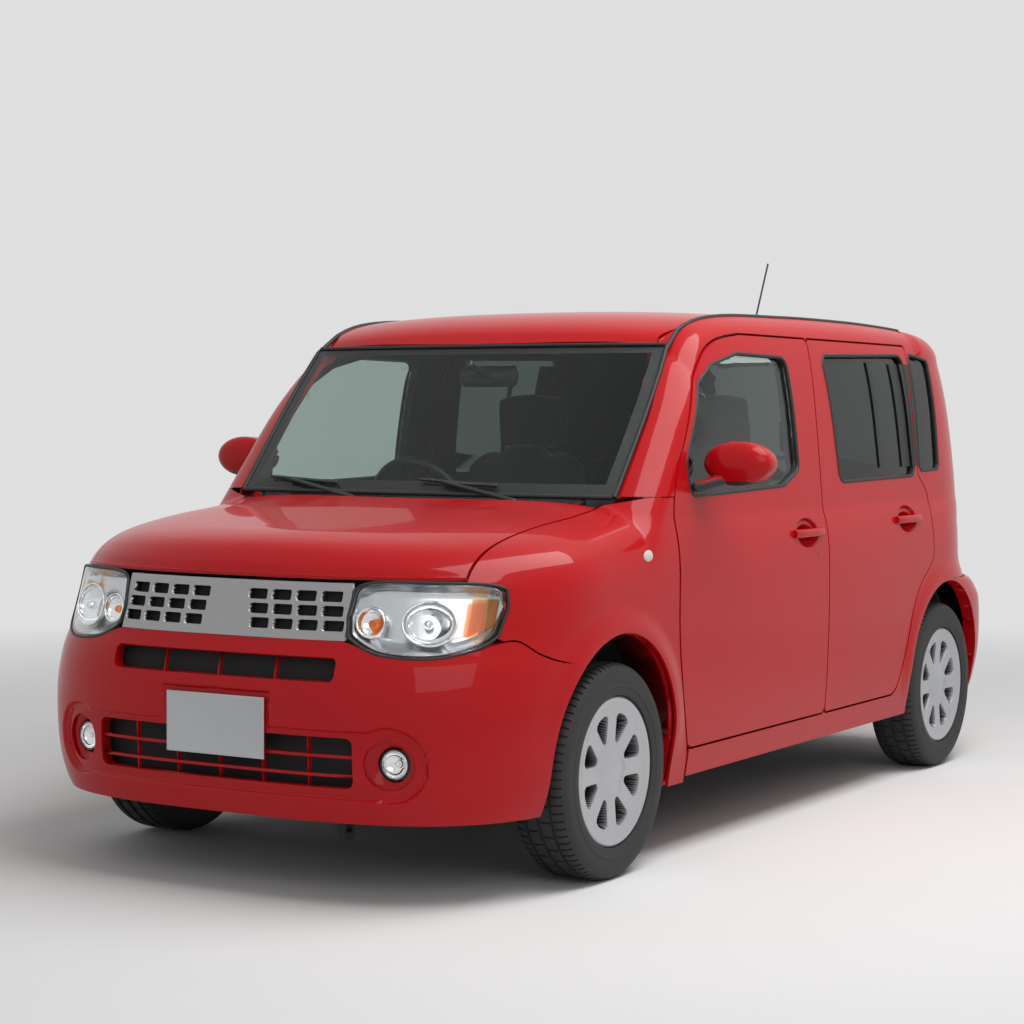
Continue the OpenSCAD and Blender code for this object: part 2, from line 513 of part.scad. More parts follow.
// Tail
rear_as = concat(steps(0, 0.36, 5), [0.42, 0.5, 0.6, 0.7, 0.8, 0.9]);
rear_ss = concat([for (i = [0:11]) -(1 - rear_as[i])], [0], [for (i = [11:-1:0]) 1 - rear_as[i]]);
function rear_pt(s, z, t) = let (p = tail_point(z, 1 - abs(s), t)) [p[0], p[1] * (s < 0 ? -1 : 1), z];
module rear_bumper() color(red) difference() {
    shell(rear_ss, [225, 250, 300, 360, 450, 520, 580, 640, 675, bumper_seam - joint_gap],
        function (s, z) rear_pt(s, z, 0), function (s, z) rear_pt(s, z, moulding + 10));
    both() arch(axle_r, arch_radius);
    box([axle_r - 60 - joint_gap, -far, 0], [far, far, far]);
    both() along_x(-far, -1600) rounded_quad([[430, 520], [640, 520], [640, 560], [430, 560]], 20);
}
module tail_lamps() color([0.6, 0.05, 0.05]) intersection() {
    shell(steps(-1, 1, 24), steps(490, 590, 4),
        function (s, z) [tail_skin(690 * s, z) + 2, 690 * s, z],
        function (s, z) [tail_skin(690 * s, z) + 40, 690 * s, z]);
    both() along_x(-far, -1500)
        rounded_quad([[430, 520], [640, 520], [640, 560], [430, 560]], 20 - joint_gap);
}
tailgate_zs = [tailgate_bottom, 740, 800, 900, 990, 1060, 1150, 1250, 1350, 1450, 1500, 1526];
function gate_half(z) = tailgate_half - 12 * smooth((z - 1440) / 86);
function gate_pt(s, z, t) = let (y = gate_half(z) * s)
    [tail_skin(y, z) + t, y * (1 - (s > 0 ? t * 0.0006 : 0)), z];
gate_hinge_inset = 30;
tailgate_axis = [tail_skin(gate_hinge_inset - tailgate_half, 800) + 12, gate_hinge_inset - tailgate_half];
tailgate_hinge_zs = [760, 1010];
tailgate_depth = 62;
gate_window = [[-470, 1110], [470, 1110], [455, 1470], [-455, 1470]];
module tailgate() color(red) difference() {
    shell(steps(-1, 1, 16), tailgate_zs,
        function (s, z) gate_pt(s, z, 0), function (s, z) gate_pt(s, z, tailgate_depth));
    along_x(-far, -1500) rounded_quad(gate_window, 40);
    for (z = tailgate_hinge_zs) {
        box([tailgate_axis[0] - 7, tailgate_axis[1] - 90, z - 24], [-1500, tailgate_axis[1] + 11, z + 24]);
        translate([tailgate_axis[0], tailgate_axis[1], z - 40])
            cylinder(r = hinge_pin + play, h = 80, $fn = 48);
    }
}
module tailgate_glass() color(glass) intersection() {
    shell(steps(-1, 1, 12), steps(1050, 1530, 6),
        function (s, z) [tail_skin(530 * s, z) + 8, 530 * s, z],
        function (s, z) [tail_skin(530 * s, z) + 13, 530 * s, z]);
    along_x(-far, -1500) rounded_quad(gate_window, 40 - joint_gap);
}

// Fixed hinge leaves with their pins
module door_leaf(i, z, reach) {
    translate([hinge_x[i], hinge_y[i], z - 36]) cylinder(r = hinge_pin, h = 72, $fn = 48);
    box([hinge_x[i] - 6, wall_inside - 14, z - 15], [hinge_x[i] + 6, hinge_y[i], z + 15]);
    box([hinge_x[i] - 6, wall_inside - 14, z - 15], [hinge_x[i] + reach, wall_inside, z + 15]);
}
module hinges() color(steel) {
    both() for (z = hinge_zs) {
        door_leaf(0, z, z < 600 ? 44 : 72);
        door_leaf(1, z, 90);
    }
    for (z = tailgate_hinge_zs) {
        translate([tailgate_axis[0], tailgate_axis[1], z - 36]) cylinder(r = hinge_pin, h = 72, $fn = 48);
        box([tailgate_axis[0], tailgate_axis[1] - 6, z - 15],
            [tailgate_axis[0] + 52, tailgate_axis[1] + 6, z + 15]);
        box([tailgate_axis[0] + 35, joint_gap - tailgate_half - shut_gap, z - 15],
            [tailgate_axis[0] + 52, tailgate_axis[1] + 6, z + 15]);
    }
    both() translate([bonnet_axis[0], 550, bonnet_axis[2]]) rotate([-90, 0, 0])
        cylinder(r = hinge_pin, h = 25, $fn = 48);
}

// Floor, bulkhead, rails and wheel houses
tower = [1160, 560, 830];
ball = [1190, 690, 190];
tow_z = 190;
function king(z) = mix(ball, tower, (z - ball[2]) / (tower[2] - ball[2]));
module platform() color(steel) difference() {
    union() {
        box([-1040, joint_gap - wall_inside, 216], [732, wall_inside - joint_gap, 246]);
        box([702, -690, 216], [732, 690, 760]);
        box([702, -630, 740], [732, 630, 1000]);
        box([702, -630, 940], [900, 630, 970]);
        box([-1040, -640, 216], [-1010, 640, 440]);
        box([-1850, -618, 420], [-1010, 618, 440]);
        box([-1850, -618, 380], [-1835, 618, 600]);
        both() {
            box([710, 400, 400], [1780, 460, 500]);
            box([1120, 430, 480], [1210, 460, 800]);
            box([1090, 430, 800], [1240, 690, 846]);
            box([1090, 680, 800], [1240, wall_inside - joint_gap, 830]);
            difference() {
                intersection() {
                    translate([axle_r, 610, arch_z]) rotate([-90, 0, 0]) difference() {
                        cylinder(r = arch_radius + 14, h = wall_inside - 610 - joint_gap, $fn = 72);
                        translate([0, 0, 14]) cylinder(r = arch_radius + 2, h = 400, $fn = 72);
                    }
                    box([-far, 0, 236], [far, 1000, 900]);
                }
                translate([axle_r, 500, hub_z]) rotate([-90, 0, 0]) cylinder(r = 70, h = 300, $fn = 40);
            }
        }
        box([1760, -460, 330], [1785, 460, 640]);
        box([1740, 300, tow_z - 40], [1785, 320, 332]);
    }
    both() rod(king(700), king(900), strut_top + play);
    translate([1762, 290, tow_z]) rotate([-90, 0, 0]) cylinder(r = tow_eye, h = 40, $fn = 48);
}
module wheel_liners() color(black) both() difference() {
    translate([axle_f, 500, arch_z]) rotate([-90, 0, 0]) difference() {
        cylinder(r = arch_radius + 12, h = wall_inside - 500 - joint_gap, $fn = 72);
        translate([0, 0, -1]) cylinder(r = arch_radius + 8, h = 400, $fn = 72);
    }
    box([0, 0, -200], [far, 1000, 380]);
    rod(king(560), king(800), 75);
}
module engine() color([0.3, 0.31, 0.33]) {
    box([1150, -399.7, 300], [1600, 399.7, 780]);
    box([1250, -330, 780], [1480, 330, 850]);
}
module front_subframe() color(black) difference() {
    union() {
        box([1080, -460, 170], [1300, 460, 215]);
        both() translate([0, 0, 174]) linear_extrude(26)
            polygon([[1110, 440], [1110, 460], [ball[0] - 20, ball[1]], [ball[0] + 20, ball[1]], [1270, 460],
                [1270, 440]]);
        both() translate([ball[0], ball[1], 172]) cylinder(r = 27, h = 30, $fn = 40);
        both() box([1120, 400, 215], [1260, 455, 399.7]);
    }
    both() rod(king(100), king(300), ball_pin + play);
}
module rear_axle() color(black) {
    box([-1240, -560, 250], [-1180, 560, 310]);
    both() {
        box([-1390, 560, 262], [-1040 - joint_gap, 600, 345]);
        translate([axle_r, 560, hub_z]) rotate([-90, 0, 0]) cylinder(r = 45, h = 90, $fn = 40);
        translate([axle_r, 560, hub_z]) rotate([-90, 0, 0]) cylinder(r = spindle - play, h = 205, $fn = 64);
        translate([-1210, 500, 300]) cylinder(r = 55, h = 119.7, $fn = 40);
    }
}
module fuel_tank() color(black) box([-900, -420, 130], [-420, 380, 215.7]);
module exhaust() color(steel) {
    rod([1080, -480, 150], [-1300, -480, 165], 24);
    translate([-1640, -420, 230]) rotate([0, 90, 0]) scale([0.7, 1.4, 1]) cylinder(r = 90, h = 320, $fn = 40);
    rod([-1310, -480, 165], [-1345, -470, 215], 22);
    rod([-1620, -480, 215], [-1890, -490, 196], 22);
    box([-1500, -425, 285], [-1470, -415, 419.7]);
    box([-200, -485, 150], [-190, -475, 215.7]);
}

// Cabin
wheel_tilt = 24;
steer = [430, -360, 955];
function column(d) = steer + d * [-cos(wheel_tilt), 0, sin(wheel_tilt)];
dash_back = 702 - joint_gap;
module dashboard() color(black) {
    hull() {
        box([dash_back - 60, -690, 760], [dash_back, 690, 1000]);
        box([dash_back - 220, -680, 860], [dash_back - 210, 680, 980]);
        box([dash_back - 40, -630, 1000], [dash_back, 630, 1064]);
        box([dash_back - 150, -640, 1040], [dash_back - 140, 640, 1075]);
    }
    box([480, -110, 560], [dash_back, 110, 900]);
    rod(column(-250), column(-24), 34);
    rod(column(-40), column(9), 12);
}
module steering_wheel() color(black) translate(steer) rotate([0, -90 + wheel_tilt, 0]) difference() {
    union() {
        translate([0, 0, 60]) rotate_extrude($fn = 56) translate([178, 0]) circle(15, $fn = 20);
        for (a = [0, 120, 240]) rotate([0, 0, a]) translate([0, -16, 46]) cube([172, 32, 16]);
        translate([0, 0, 22]) cylinder(r = 55, h = 50, $fn = 40);
        translate([0, 0, -20]) cylinder(r = 22, h = 60, $fn = 40);
    }
    translate([0, 0, -60]) cylinder(r = 12 + play, h = 70, $fn = 40);
}
module seat(y) {
    box([-330, y - 200, 246], [140, y + 200, 300]);
    box([-310, y - 160, 290], [120, y + 160, 430]);
    hull() {
        box([-330, y - 235, 430], [170, y + 235, 500]);
        box([-300, y - 215, 500], [140, y + 215, 560]);
    }
    hull() {
        box([-400, y - 225, 480], [-290, y + 225, 540]);
        box([-470, y - 200, 1100], [-390, y + 200, 1150]);
    }
    hull() {
        box([-440, y - 120, 1195], [-370, y + 120, 1345]);
        box([-430, y - 100, 1185], [-380, y + 100, 1360]);
    }
    for (i = [-60, 60]) translate([-410, y + i, 1100]) cylinder(r = 8, h = 110, $fn = 20);
}
module front_seats() color([0.2, 0.2, 0.22]) both() translate([60, 0, 0]) seat(355);
module rear_seat() color([0.2, 0.2, 0.22]) {
    box([-990, -540, 246], [-480, 540, 380]);
    hull() {
        box([-1000, -590, 380], [-440, 590, 470]);
        box([-980, -570, 470], [-470, 570, 560]);
    }
    hull() {
        box([-1080, -590, 480], [-960, 590, 560]);
        box([-1200, -570, 1080], [-1120, 570, 1140]);
    }
    for (y = [-360, 0, 360]) {
        hull() {
            box([-1195, y - 110, 1170], [-1125, y + 110, 1280]);
            box([-1185, y - 90, 1160], [-1135, y + 90, 1295]);
        }
        for (i = [-55, 55]) translate([-1160, y + i, 1100]) cylinder(r = 7, h = 80, $fn = 20);
    }
}
screen_normal = [1, 0, 0.809] / norm([1, 0, 0.809]);
mirror_foot = [screen_x(1460), 0, 1460] - (6 / norm([1, 0, 0.809]) + 12.4) * screen_normal;
module interior_mirror() color(black) {
    hull() for (i = [-1, 1]) translate([535, 85 * i, 1418]) scale([0.5, 1, 1.4]) sphere(24, $fn = 24);
    rod([545, 0, 1420], mirror_foot, 9);
    rod(mirror_foot, mirror_foot + 12 * screen_normal, 16);
}

// Steered knuckle with strut and spindle
module knuckle() {
    rod(king(330), king(720), 28);
    rod(king(700), king(842), strut_top);
    rod(king(160), king(240), ball_pin);
    hull() {
        rod(king(335), king(390), 27);
        translate([axle_f, 650, hub_z]) rotate([-90, 0, 0]) cylinder(r = 48, h = 38, $fn = 40);
    }
    hull() {
        rod(king(206), king(218), 13);
        translate([axle_f, 640, hub_z]) rotate([-90, 0, 0]) cylinder(r = 36, h = 32, $fn = 40);
    }
    translate([axle_f, 640, hub_z]) rotate([-90, 0, 0]) cylinder(r = spindle - play, h = 125, $fn = 64);
}
module knuckle_left() color(steel) knuckle();
module knuckle_right() color(steel) right() knuckle();

// Wheel about its own middle, outside looking along +Y
rim_r = rim_dia / 2;
cover_r = 212;
module wheel() rotate([-90, 0, 0]) difference() {
    rotate_extrude($fn = 96) polygon([[spindle, -45], [52, -45], [52, 30], [150, 38], [rim_r - 22, 20],
        [rim_r - 22, -68], [rim_r, -76], [cover_r - 2, -80], [cover_r - 2, -74], [rim_r, -66],
        [rim_r - 12, -30], [rim_r - 12, 40], [rim_r, 62], [cover_r - 4, 70], [cover_r, 76], [cover_r - 8, 82],
        [170, 72], [80, 66],
        [48, 74], [20, 78], [0, 78], [0, 34], [spindle, 34]]);
    for (i = [0:7]) rotate([0, 0, 45 * i + 22.5]) translate([0, 0, -10]) linear_extrude(120)
        polygon([[84, -6], [84, 6], [92, 12], [146, 34], [158, 30], [164, 18], [165, 0], [164, -18],
            [158, -30], [146, -34], [92, -12]]);
}
module tyre() rotate([-90, 0, 0]) rotate_extrude($fn = 96) {
    w = tyre_width / 2;
    r = tyre_dia / 2;
    polygon([[rim_r + joint_gap, -65.5], [cover_r - 1, -73.4], [cover_r + 1, -80], [250, -w + 1], [275, -w],
        [r - 16, -w + 7], [r - 4, -w + 20], [r, -w + 34], [r, -46], [r - 7, -45], [r - 7, -37], [r, -36],
        [r, -6], [r - 7, -5], [r - 7, 5], [r, 6], [r, 36],
        [r - 7, 37], [r - 7, 45], [r, 46], [r, w - 34], [r - 4, w - 20], [r - 16, w - 7], [275, w],
        [250, w - 1], [cover_r + 1, 84], [cover_r + 1, 72], [rim_r + joint_gap, 62]]);
}
module at(front, left) translate([front ? axle_f : axle_r, left ? wheel_y : -wheel_y, hub_z])
    rotate([0, 0, left ? 0 : 180]) children();
module wheel_fl() color(steel) at(true, true) wheel();
module wheel_fr() color(steel) at(true, false) wheel();
module wheel_rl() color(steel) at(false, true) wheel();
module wheel_rr() color(steel) at(false, false) wheel();
module tyre_fl() color(black) at(true, true) tyre();
module tyre_fr() color(black) at(true, false) tyre();
module tyre_rl() color(black) at(false, true) tyre();
module tyre_rr() color(black) at(false, false) tyre();

// Doors on both sides
module door_fl() color(red) front_door();
module door_fr() color(red) right() front_door();
module door_rl() color(red) rear_door();
module door_rr() color(red) right() rear_door();
module glass_fl() color(glass) front_glass();
module glass_fr() color(glass) right() front_glass();
module glass_rl() color(glass) rear_glass();
module glass_rr() color(glass) right() rear_glass();
module mirror_left() color(red) mirror_body();
module mirror_right() color(red) right() mirror_body();

platform();
body_side_left();
body_side_right();
roof();
fender_left();
fender_right();
scuttle();
front_bumper();
grille();
headlamps();
fog_lamps();
rear_bumper();
tail_lamps();
windscreen();
quarter_glass();
wipers();
aerial();
hinges();
wheel_liners();
engine();
front_subframe();
rear_axle();
fuel_tank();
exhaust();
dashboard();
front_seats();
rear_seat();
interior_mirror();
bonnet();
door_fl();
glass_fl();
mirror_left();
door_rl();
glass_rl();
door_fr();
glass_fr();
mirror_right();
door_rr();
glass_rr();
tailgate();
tailgate_glass();
knuckle_left();
knuckle_right();
steering_wheel();
wheel_fl();
tyre_fl();
wheel_fr();
tyre_fr();
wheel_rl();
tyre_rl();
wheel_rr();
tyre_rr();
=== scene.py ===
# Boxy compact car: the finish of each panel, pane, lamp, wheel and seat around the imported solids.
import json
import math

import bpy
import numpy as np
from mathutils import Matrix, Vector
from mathutils.kdtree import KDTree

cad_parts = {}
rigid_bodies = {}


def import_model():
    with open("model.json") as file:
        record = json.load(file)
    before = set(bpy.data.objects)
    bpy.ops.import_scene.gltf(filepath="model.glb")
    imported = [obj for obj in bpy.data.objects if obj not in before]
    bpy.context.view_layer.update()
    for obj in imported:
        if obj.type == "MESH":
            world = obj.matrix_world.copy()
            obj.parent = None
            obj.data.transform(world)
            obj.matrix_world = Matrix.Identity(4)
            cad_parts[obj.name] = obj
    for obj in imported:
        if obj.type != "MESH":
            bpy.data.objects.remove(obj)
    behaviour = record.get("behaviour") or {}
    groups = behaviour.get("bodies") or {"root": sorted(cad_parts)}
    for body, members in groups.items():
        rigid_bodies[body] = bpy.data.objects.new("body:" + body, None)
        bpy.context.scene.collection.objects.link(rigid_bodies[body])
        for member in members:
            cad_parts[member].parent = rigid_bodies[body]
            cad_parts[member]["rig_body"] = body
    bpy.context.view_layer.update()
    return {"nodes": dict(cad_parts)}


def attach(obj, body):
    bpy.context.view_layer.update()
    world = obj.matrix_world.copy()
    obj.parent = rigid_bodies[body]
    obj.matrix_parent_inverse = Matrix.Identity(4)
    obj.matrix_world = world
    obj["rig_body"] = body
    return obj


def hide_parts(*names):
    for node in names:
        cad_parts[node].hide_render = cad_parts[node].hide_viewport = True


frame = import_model()
NODES = frame["nodes"]
BODY_OF = {n: o["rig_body"] for n, o in NODES.items()}
MM = 0.001

# Form of the body skin in millimetres: X forward, Y left, Z up, ground at zero
HALF, ROOF, NOSE, TAIL = 847.5, 1650, 1945, -1945
AXLES, ARCH_Z, ARCH_R, WHEEL_Y, HUB_Z = (1185, -1345), 352, 340, 737.5, 304
NOSE_START, TAIL_START, SCREEN_BOW = 1250, -1300, 180
LOW_KEYS = [(170, -82), (230, -54), (300, -33), (400, -21), (520, -15), (660, -12), (800, -13),
            (900, -16), (1100, -22)]
CABIN_KEYS = [(-690, -41), (-590, -50), (-450, -65), (-300, -85), (-170, -111), (-90, -136),
              (-60, -154), (-38, -180), (-24, -207)]
NOSE_KEYS = [(200, -45), (250, -20), (350, -2), (450, 0), (560, -5), (640, -20), (700, -42), (840, -76),
             (866, -90), (900, -108), (945, -155), (970, -225), (1000, -360), (1100, -900)]
NOSE_POWER = [(200, 3.2), (500, 3.2), (617, 3), (680, 2.8), (865, 2.5), (1000, 2.5)]
TAIL_KEYS = [(220, 45), (300, 12), (450, 0), (560, 8), (640, 24), (700, 36), (900, 40), (1060, 50),
             (1300, 75), (1500, 105), (1570, 125)]
TAIL_POWER = [(200, 4.6), (300, 5.2), (600, 5.2), (660, 4.2), (690, 3.4), (701, 2.8), (900, 2.7),
              (1000, 3.1), (1600, 3.2)]
RIDGE_KEYS = [(0, 1085), (880, 1085), (1000, 1051), (1300, 1017), (1600, 985), (1720, 969),
              (1790, 945), (1837, 900), (1855, 866)]
CROWN_KEYS = [(-1840, -95), (-1780, -62), (-1680, -38), (-1500, -19), (-1000, -2), (-500, 0),
              (-200, -4), (100, -10), (300, -22), (420, -38), (510, -62), (566, -90), (606, -129)]
SHOULDER_Z, HOOD_LIP_Z = 700, 868
ROOF_EDGE, ROOF_DROP, BOW_HALF, FLARE_DEPTH = 640, 24, 729, 11
SCREEN_FOOT, SCREEN_RISE, SCREEN_FOOT_X, SCREEN_SLOPE = 1053, 456, 985, 0.809
WIDEST_X, QUARTER_TOP, WAIST_Z = -400.0, 1500, 1141
# Shut lines over height, and sizes of the panels
DOOR_FRONT = [(300, 738), (480, 790), (665, 822), (850, 817), (1030, 797), (1136, 757), (1201, 706),
              (1389, 566), (1470, 478), (1510, 408), (1536, 320), (1552, 200)]
DOOR_MID = [(300, -257), (507, -259), (752, -261), (995, -270), (1315, -286), (1556, -322)]
DOOR_REAR = [(310, -846), (346, -893), (460, -952), (615, -1020), (704, -1096), (750, -1172), (790, -1212),
             (900, -1216), (1010, -1222), (1045, -1196), (1090, -1150), (1318, -1150), (1556, -1205)]
FENDER_FRONT = [(300, 1440), (626, 1456), (680, 1530), (735, 1618), (790, 1626), (840, 1634), (872, 1700)]
DOOR_BOTTOM, DOOR_TOP, SHUT_GAP, WING_EASE, PILLAR_FOOT = 318, 1552, 7, 3, 1062
HOOD_HALF, HOOD_REAR, GATE_HALF, BUMPER_SEAM = 640, 1030, 590, 700
GATE_BOTTOM, GATE_TOP = 708, 1526
BUMPER_KEYS = [(0, 700), (372, 700), (400, 694), (480, 668), (600, 660), (690, 676), (760, 700),
               (800, 660), (836, 624), (900, 600)]
HANDLES, CUP_R, CUP_LIP = ((-105, 918), (-985, 932)), 50, 26
HINGE_XS, HINGE_ZS, GATE_HINGE_ZS, HINGE_HALF = (785.0, -298.0), (500, 830), (760, 1010), 24
# Reach of the blocks that trim the panels, along X or Y, and the step along their rounded outlines
NOSE_CUT, TAIL_CUT, SIDE_CUT, EDGE_STEP = (1400, 2100), (-2100, -1500), (-1100, 1100), 12


def curve(keys, t):
    """Smooth curve through keys of position and value."""
    x, y = np.array(keys, float).T
    i = np.arange(len(x))
    lo, hi = np.maximum(i - 1, 0), np.minimum(i + 1, len(x) - 1)
    slope = (y[hi] - y[lo]) / (x[hi] - x[lo])
    t = np.asarray(t, float)
    i = np.clip(np.searchsorted(x, t, side="right") - 1, 0, len(x) - 2)
    h = x[i + 1] - x[i]
    s = np.clip((t - x[i]) / h, 0, 1)
    m0, m1 = slope[i] * h, slope[i + 1] * h
    a, b = y[i], y[i + 1]
    return a + s * (m0 + s * (3 * (b - a) - 2 * m0 - m1 + s * (2 * (a - b) + m0 + m1)))


def smooth(t):
    s = np.clip(t, 0, 1)
    return s * s * (3 - 2 * s)


def mix(a, b, t):
    return a + (b - a) * t


def rounded(u, n):
    u = np.clip(u, 0, 1)
    return (1 - u ** n) ** (1 / n)


def soft_max(a, b, k):
    h = np.maximum(k - abs(a - b), 0) / k
    return np.maximum(a, b) + h * h * k / 4


def low_half(z):
    return HALF + curve(LOW_KEYS, z)


def nose_x(z):
    return NOSE + curve(NOSE_KEYS, z)


def tail_x(z):
    return TAIL + curve(TAIL_KEYS, z)


def flare(x, z, axle):
    """Swell of the side round a wheel arch."""
    d = np.hypot(x - axle, z - ARCH_Z) - ARCH_R
    return FLARE_DEPTH * (1 - smooth((d - 8) / 75)) * smooth((z - 230) / 200)


def front_flare(x, z):
    return flare(x, z, AXLES[0]) * smooth((1600 - x) / 200)


def low_y(x, z):
    shoulder = rounded((z - SHOULDER_Z) / (curve(RIDGE_KEYS, x) - SHOULDER_Z),
                       5 - 0.5 * smooth((x - 800) / 400))
    nose = rounded((x - NOSE_START) / (nose_x(z) - NOSE_START), curve(NOSE_POWER, z))
    return low_half(z) * nose * shoulder + front_flare(x, z) + flare(x, z, AXLES[1])


def screen_x(z):
    return SCREEN_FOOT_X - SCREEN_SLOPE * (z - SCREEN_FOOT)


def roof_z(x, y):
    bow = 1 - rounded(abs(y) / BOW_HALF, 3)
    return ROOF - ROOF_DROP * (abs(y) / ROOF_EDGE) ** 2.5 + curve(
        CROWN_KEYS, x + SCREEN_BOW * bow * smooth((x - 50) / 450)
        - 480 * bow * smooth((-1250 - x) / 400))


def edge_z(x):
    """Height of the roof along its edge."""
    return roof_z(x, np.full_like(np.asarray(x, float), ROOF_EDGE))


def cabin_y(x, z):
    drop = ROOF - ROOF_DROP - edge_z(x)
    start = screen_x(z) - SCREEN_BOW
    wide = HALF + curve(CABIN_KEYS, z - ROOF + drop * smooth((z - 1250) / 280))
    return wide * rounded((x - start) / SCREEN_BOW, 3)


def side_y(x, z):
    return soft_max(low_y(x, z), cabin_y(x, z), 34)


def screen_wide(z):
    return cabin_y(np.full_like(z, WIDEST_X), z)


def screen_share(z):
    """Share of the cabin's half width that the windscreen takes."""
    return mix(0.8375, 0.88, np.clip((z - SCREEN_FOOT) / SCREEN_RISE, 0, 1))


def screen_skin(y, z):
    return screen_x(z) - SCREEN_BOW + SCREEN_BOW * rounded(abs(y) / screen_wide(z), 3)


def nose_skin(y, z):
    return NOSE_START + (nose_x(z) - NOSE_START) * rounded(abs(y) / low_half(z), curve(NOSE_POWER, z))


def tail_half(z):
    return side_y(np.full_like(z, float(TAIL_START)), z)


def tail_skin(y, z):
    return TAIL_START - (TAIL_START - tail_x(z)) * rounded(abs(y) / tail_half(z), curve(TAIL_POWER, z))


def side_at(x, z):
    return side_y(np.array([float(x)]), np.array([float(z)]))[0]


def nose_at(y, z):
    return nose_skin(np.array([float(y)]), np.array([float(z)]))[0]


def top_z(x, y):
    lo, hi = np.full_like(x, 600.0), np.full_like(x, 1090.0)
    for _ in range(26):
        m = (lo + hi) / 2
        over = low_y(x, m) > abs(y)
        lo, hi = np.where(over, m, lo), np.where(over, hi, m)
    return (lo + hi) / 2


FOG_Y, FOG_Z, DISH_Z = 522, 382, 378


def bumper_dish(y, z):
    """Depth of the dish round the lower intake and the fog lamps, with a flat behind the plate."""
    lobe = np.hypot(abs(y) - FOG_Y, z - FOG_Z)
    ends = 1 - smooth((lobe - 92) / 14)
    bar = (1 - smooth((abs(y) - 500) / 14)) * (1 - smooth((abs(z - DISH_Z) - 84) / 12))
    back = (1 - smooth((abs(y) - 176) / 10)) * (1 - smooth((z - 556) / 9)) * smooth((z - DISH_Z) / 30)
    return 13 * np.maximum(np.maximum(ends, bar), back)


def corner_field(along, across, n):
    return ((np.clip(along, 0, None) ** n + np.clip(across, 0, None) ** n) ** (1 / n) - 1) * 690


# Signed forms of the skin: zero on it and rising outwards
def side_form(x, y, z):
    return abs(y) - side_y(x, z)


def hood_form(x, y, z):
    return z - np.maximum(HOOD_LIP_Z, top_z(x, y))


def roof_form(x, y, z):
    return z - roof_z(x, y)


def nose_form(x, y, z):
    return corner_field((x - NOSE_START) / (nose_x(z) - NOSE_START), abs(y) / low_half(z),
                        curve(NOSE_POWER, z))


def bumper_form(x, y, z):
    return nose_form(x, y, z) + bumper_dish(y, z) - 0.82 * front_flare(x, z)


def tail_form(x, y, z):
    return corner_field((TAIL_START - x) / (TAIL_START - tail_x(z)), abs(y) / tail_half(z),
                        curve(TAIL_POWER, z))


def screen_form(x, y, z):
    return x - screen_skin(y, z)


def quarter_form(x, y, z):
    return np.where(x > TAIL_START, side_form(x, y, z), tail_form(x, y, np.minimum(z, QUARTER_TOP)))


def measure(form, p):
    """Distance of points from a skin and the skin's outward direction there."""
    step = 0.4
    here = form(*p.T)
    slope = np.stack([(form(*(p + step * e).T) - form(*(p - step * e).T)) / (2 * step) for e in np.eye(3)], 1)
    size = np.maximum(np.linalg.norm(slope, axis=1), 1e-6)
    return here / size, slope / size[:, None]


# Shader sums written as plain sums
class Tone:
    def __init__(self, finish, socket):
        self.finish, self.socket = finish, socket

    def _sum(self, kind, a, b):
        return self.finish.node("ShaderNodeMath", {"operation": kind}, {0: a, 1: b})

    def __add__(self, o):
        return self._sum("ADD", self, o)

    __radd__ = __add__

    def __mul__(self, o):
        return self._sum("MULTIPLY", self, o)

    __rmul__ = __mul__


class Finish:
    """A material with one main shader; every other node comes from node()."""

    def __init__(self, name, color, rough=0.5, **sockets):
        self.material = bpy.data.materials.new(name)
        self.material.use_nodes = True
        self.tree = self.material.node_tree
        self.shader = self.tree.nodes["Principled BSDF"]
        self.set(**{"Base Color": color, "Roughness": rough, **sockets})

    def node(self, kind, settings=None, sockets=None, out=0):
        n = self.tree.nodes.new(kind)
        for key, value in (settings or {}).items():
            setattr(n, key, value)
        self.feed(n, sockets or {})
        return Tone(self, n.outputs[out])

    def feed(self, n, sockets):
        for key, value in sockets.items():
            if isinstance(value, Tone):
                self.tree.links.new(value.socket, n.inputs[key])
            else:
                slot = n.inputs[key]
                slot.default_value = (*value, 1) if hasattr(value, "__len__") and len(value) == 3 \
                    and slot.type == "RGBA" else value

    def set(self, **sockets):
        self.feed(self.shader, sockets)
        return self

    def place(self):
        return self.node("ShaderNodeTexCoord", out=3)

    def noise(self, scale, detail=2.0, stretch=None):
        where = self.place()
        if stretch:
            where = self.node("ShaderNodeMapping", None, {0: where, 3: stretch})
        return self.node("ShaderNodeTexNoise", None, {"Vector": where, "Scale": scale, "Detail": detail})

    def height(self):
        return self.node("ShaderNodeSeparateXYZ", None, {0: self.place()}, 2)

    def blend(self, share, a, b):
        return self.node("ShaderNodeMix", {"data_type": "RGBA"}, {0: share, 6: a, 7: b}, 2)

    def ramp(self, value, low, high):
        return self.node("ShaderNodeMapRange", None, {0: value, 1: low, 2: high})

    def bump(self, value, strength, distance=0.001):
        return self.set(Normal=self.node("ShaderNodeBump", None, {
            "Height": value, "Strength": strength, "Distance": distance}))


def red_paint():
    f = Finish("red_paint", (0.46, 0.004, 0.007), 0.4, **{
        "Coat Weight": 0.5, "Coat Roughness": 0.02, "Coat IOR": 1.4, "Specular IOR Level": 0.05})
    dust = f.ramp(f.height(), 0.5, 0.15) * f.noise(9, 4)
    tint = f.blend(f.noise(2.5), (0.44, 0.0035, 0.006), (0.48, 0.0045, 0.008))
    f.set(**{"Base Color": f.blend(dust * 0.06, tint, (0.26, 0.08, 0.06)), "Roughness": 0.36 + dust * 0.12})
    return f.bump(f.noise(900, 1), 0.012).material


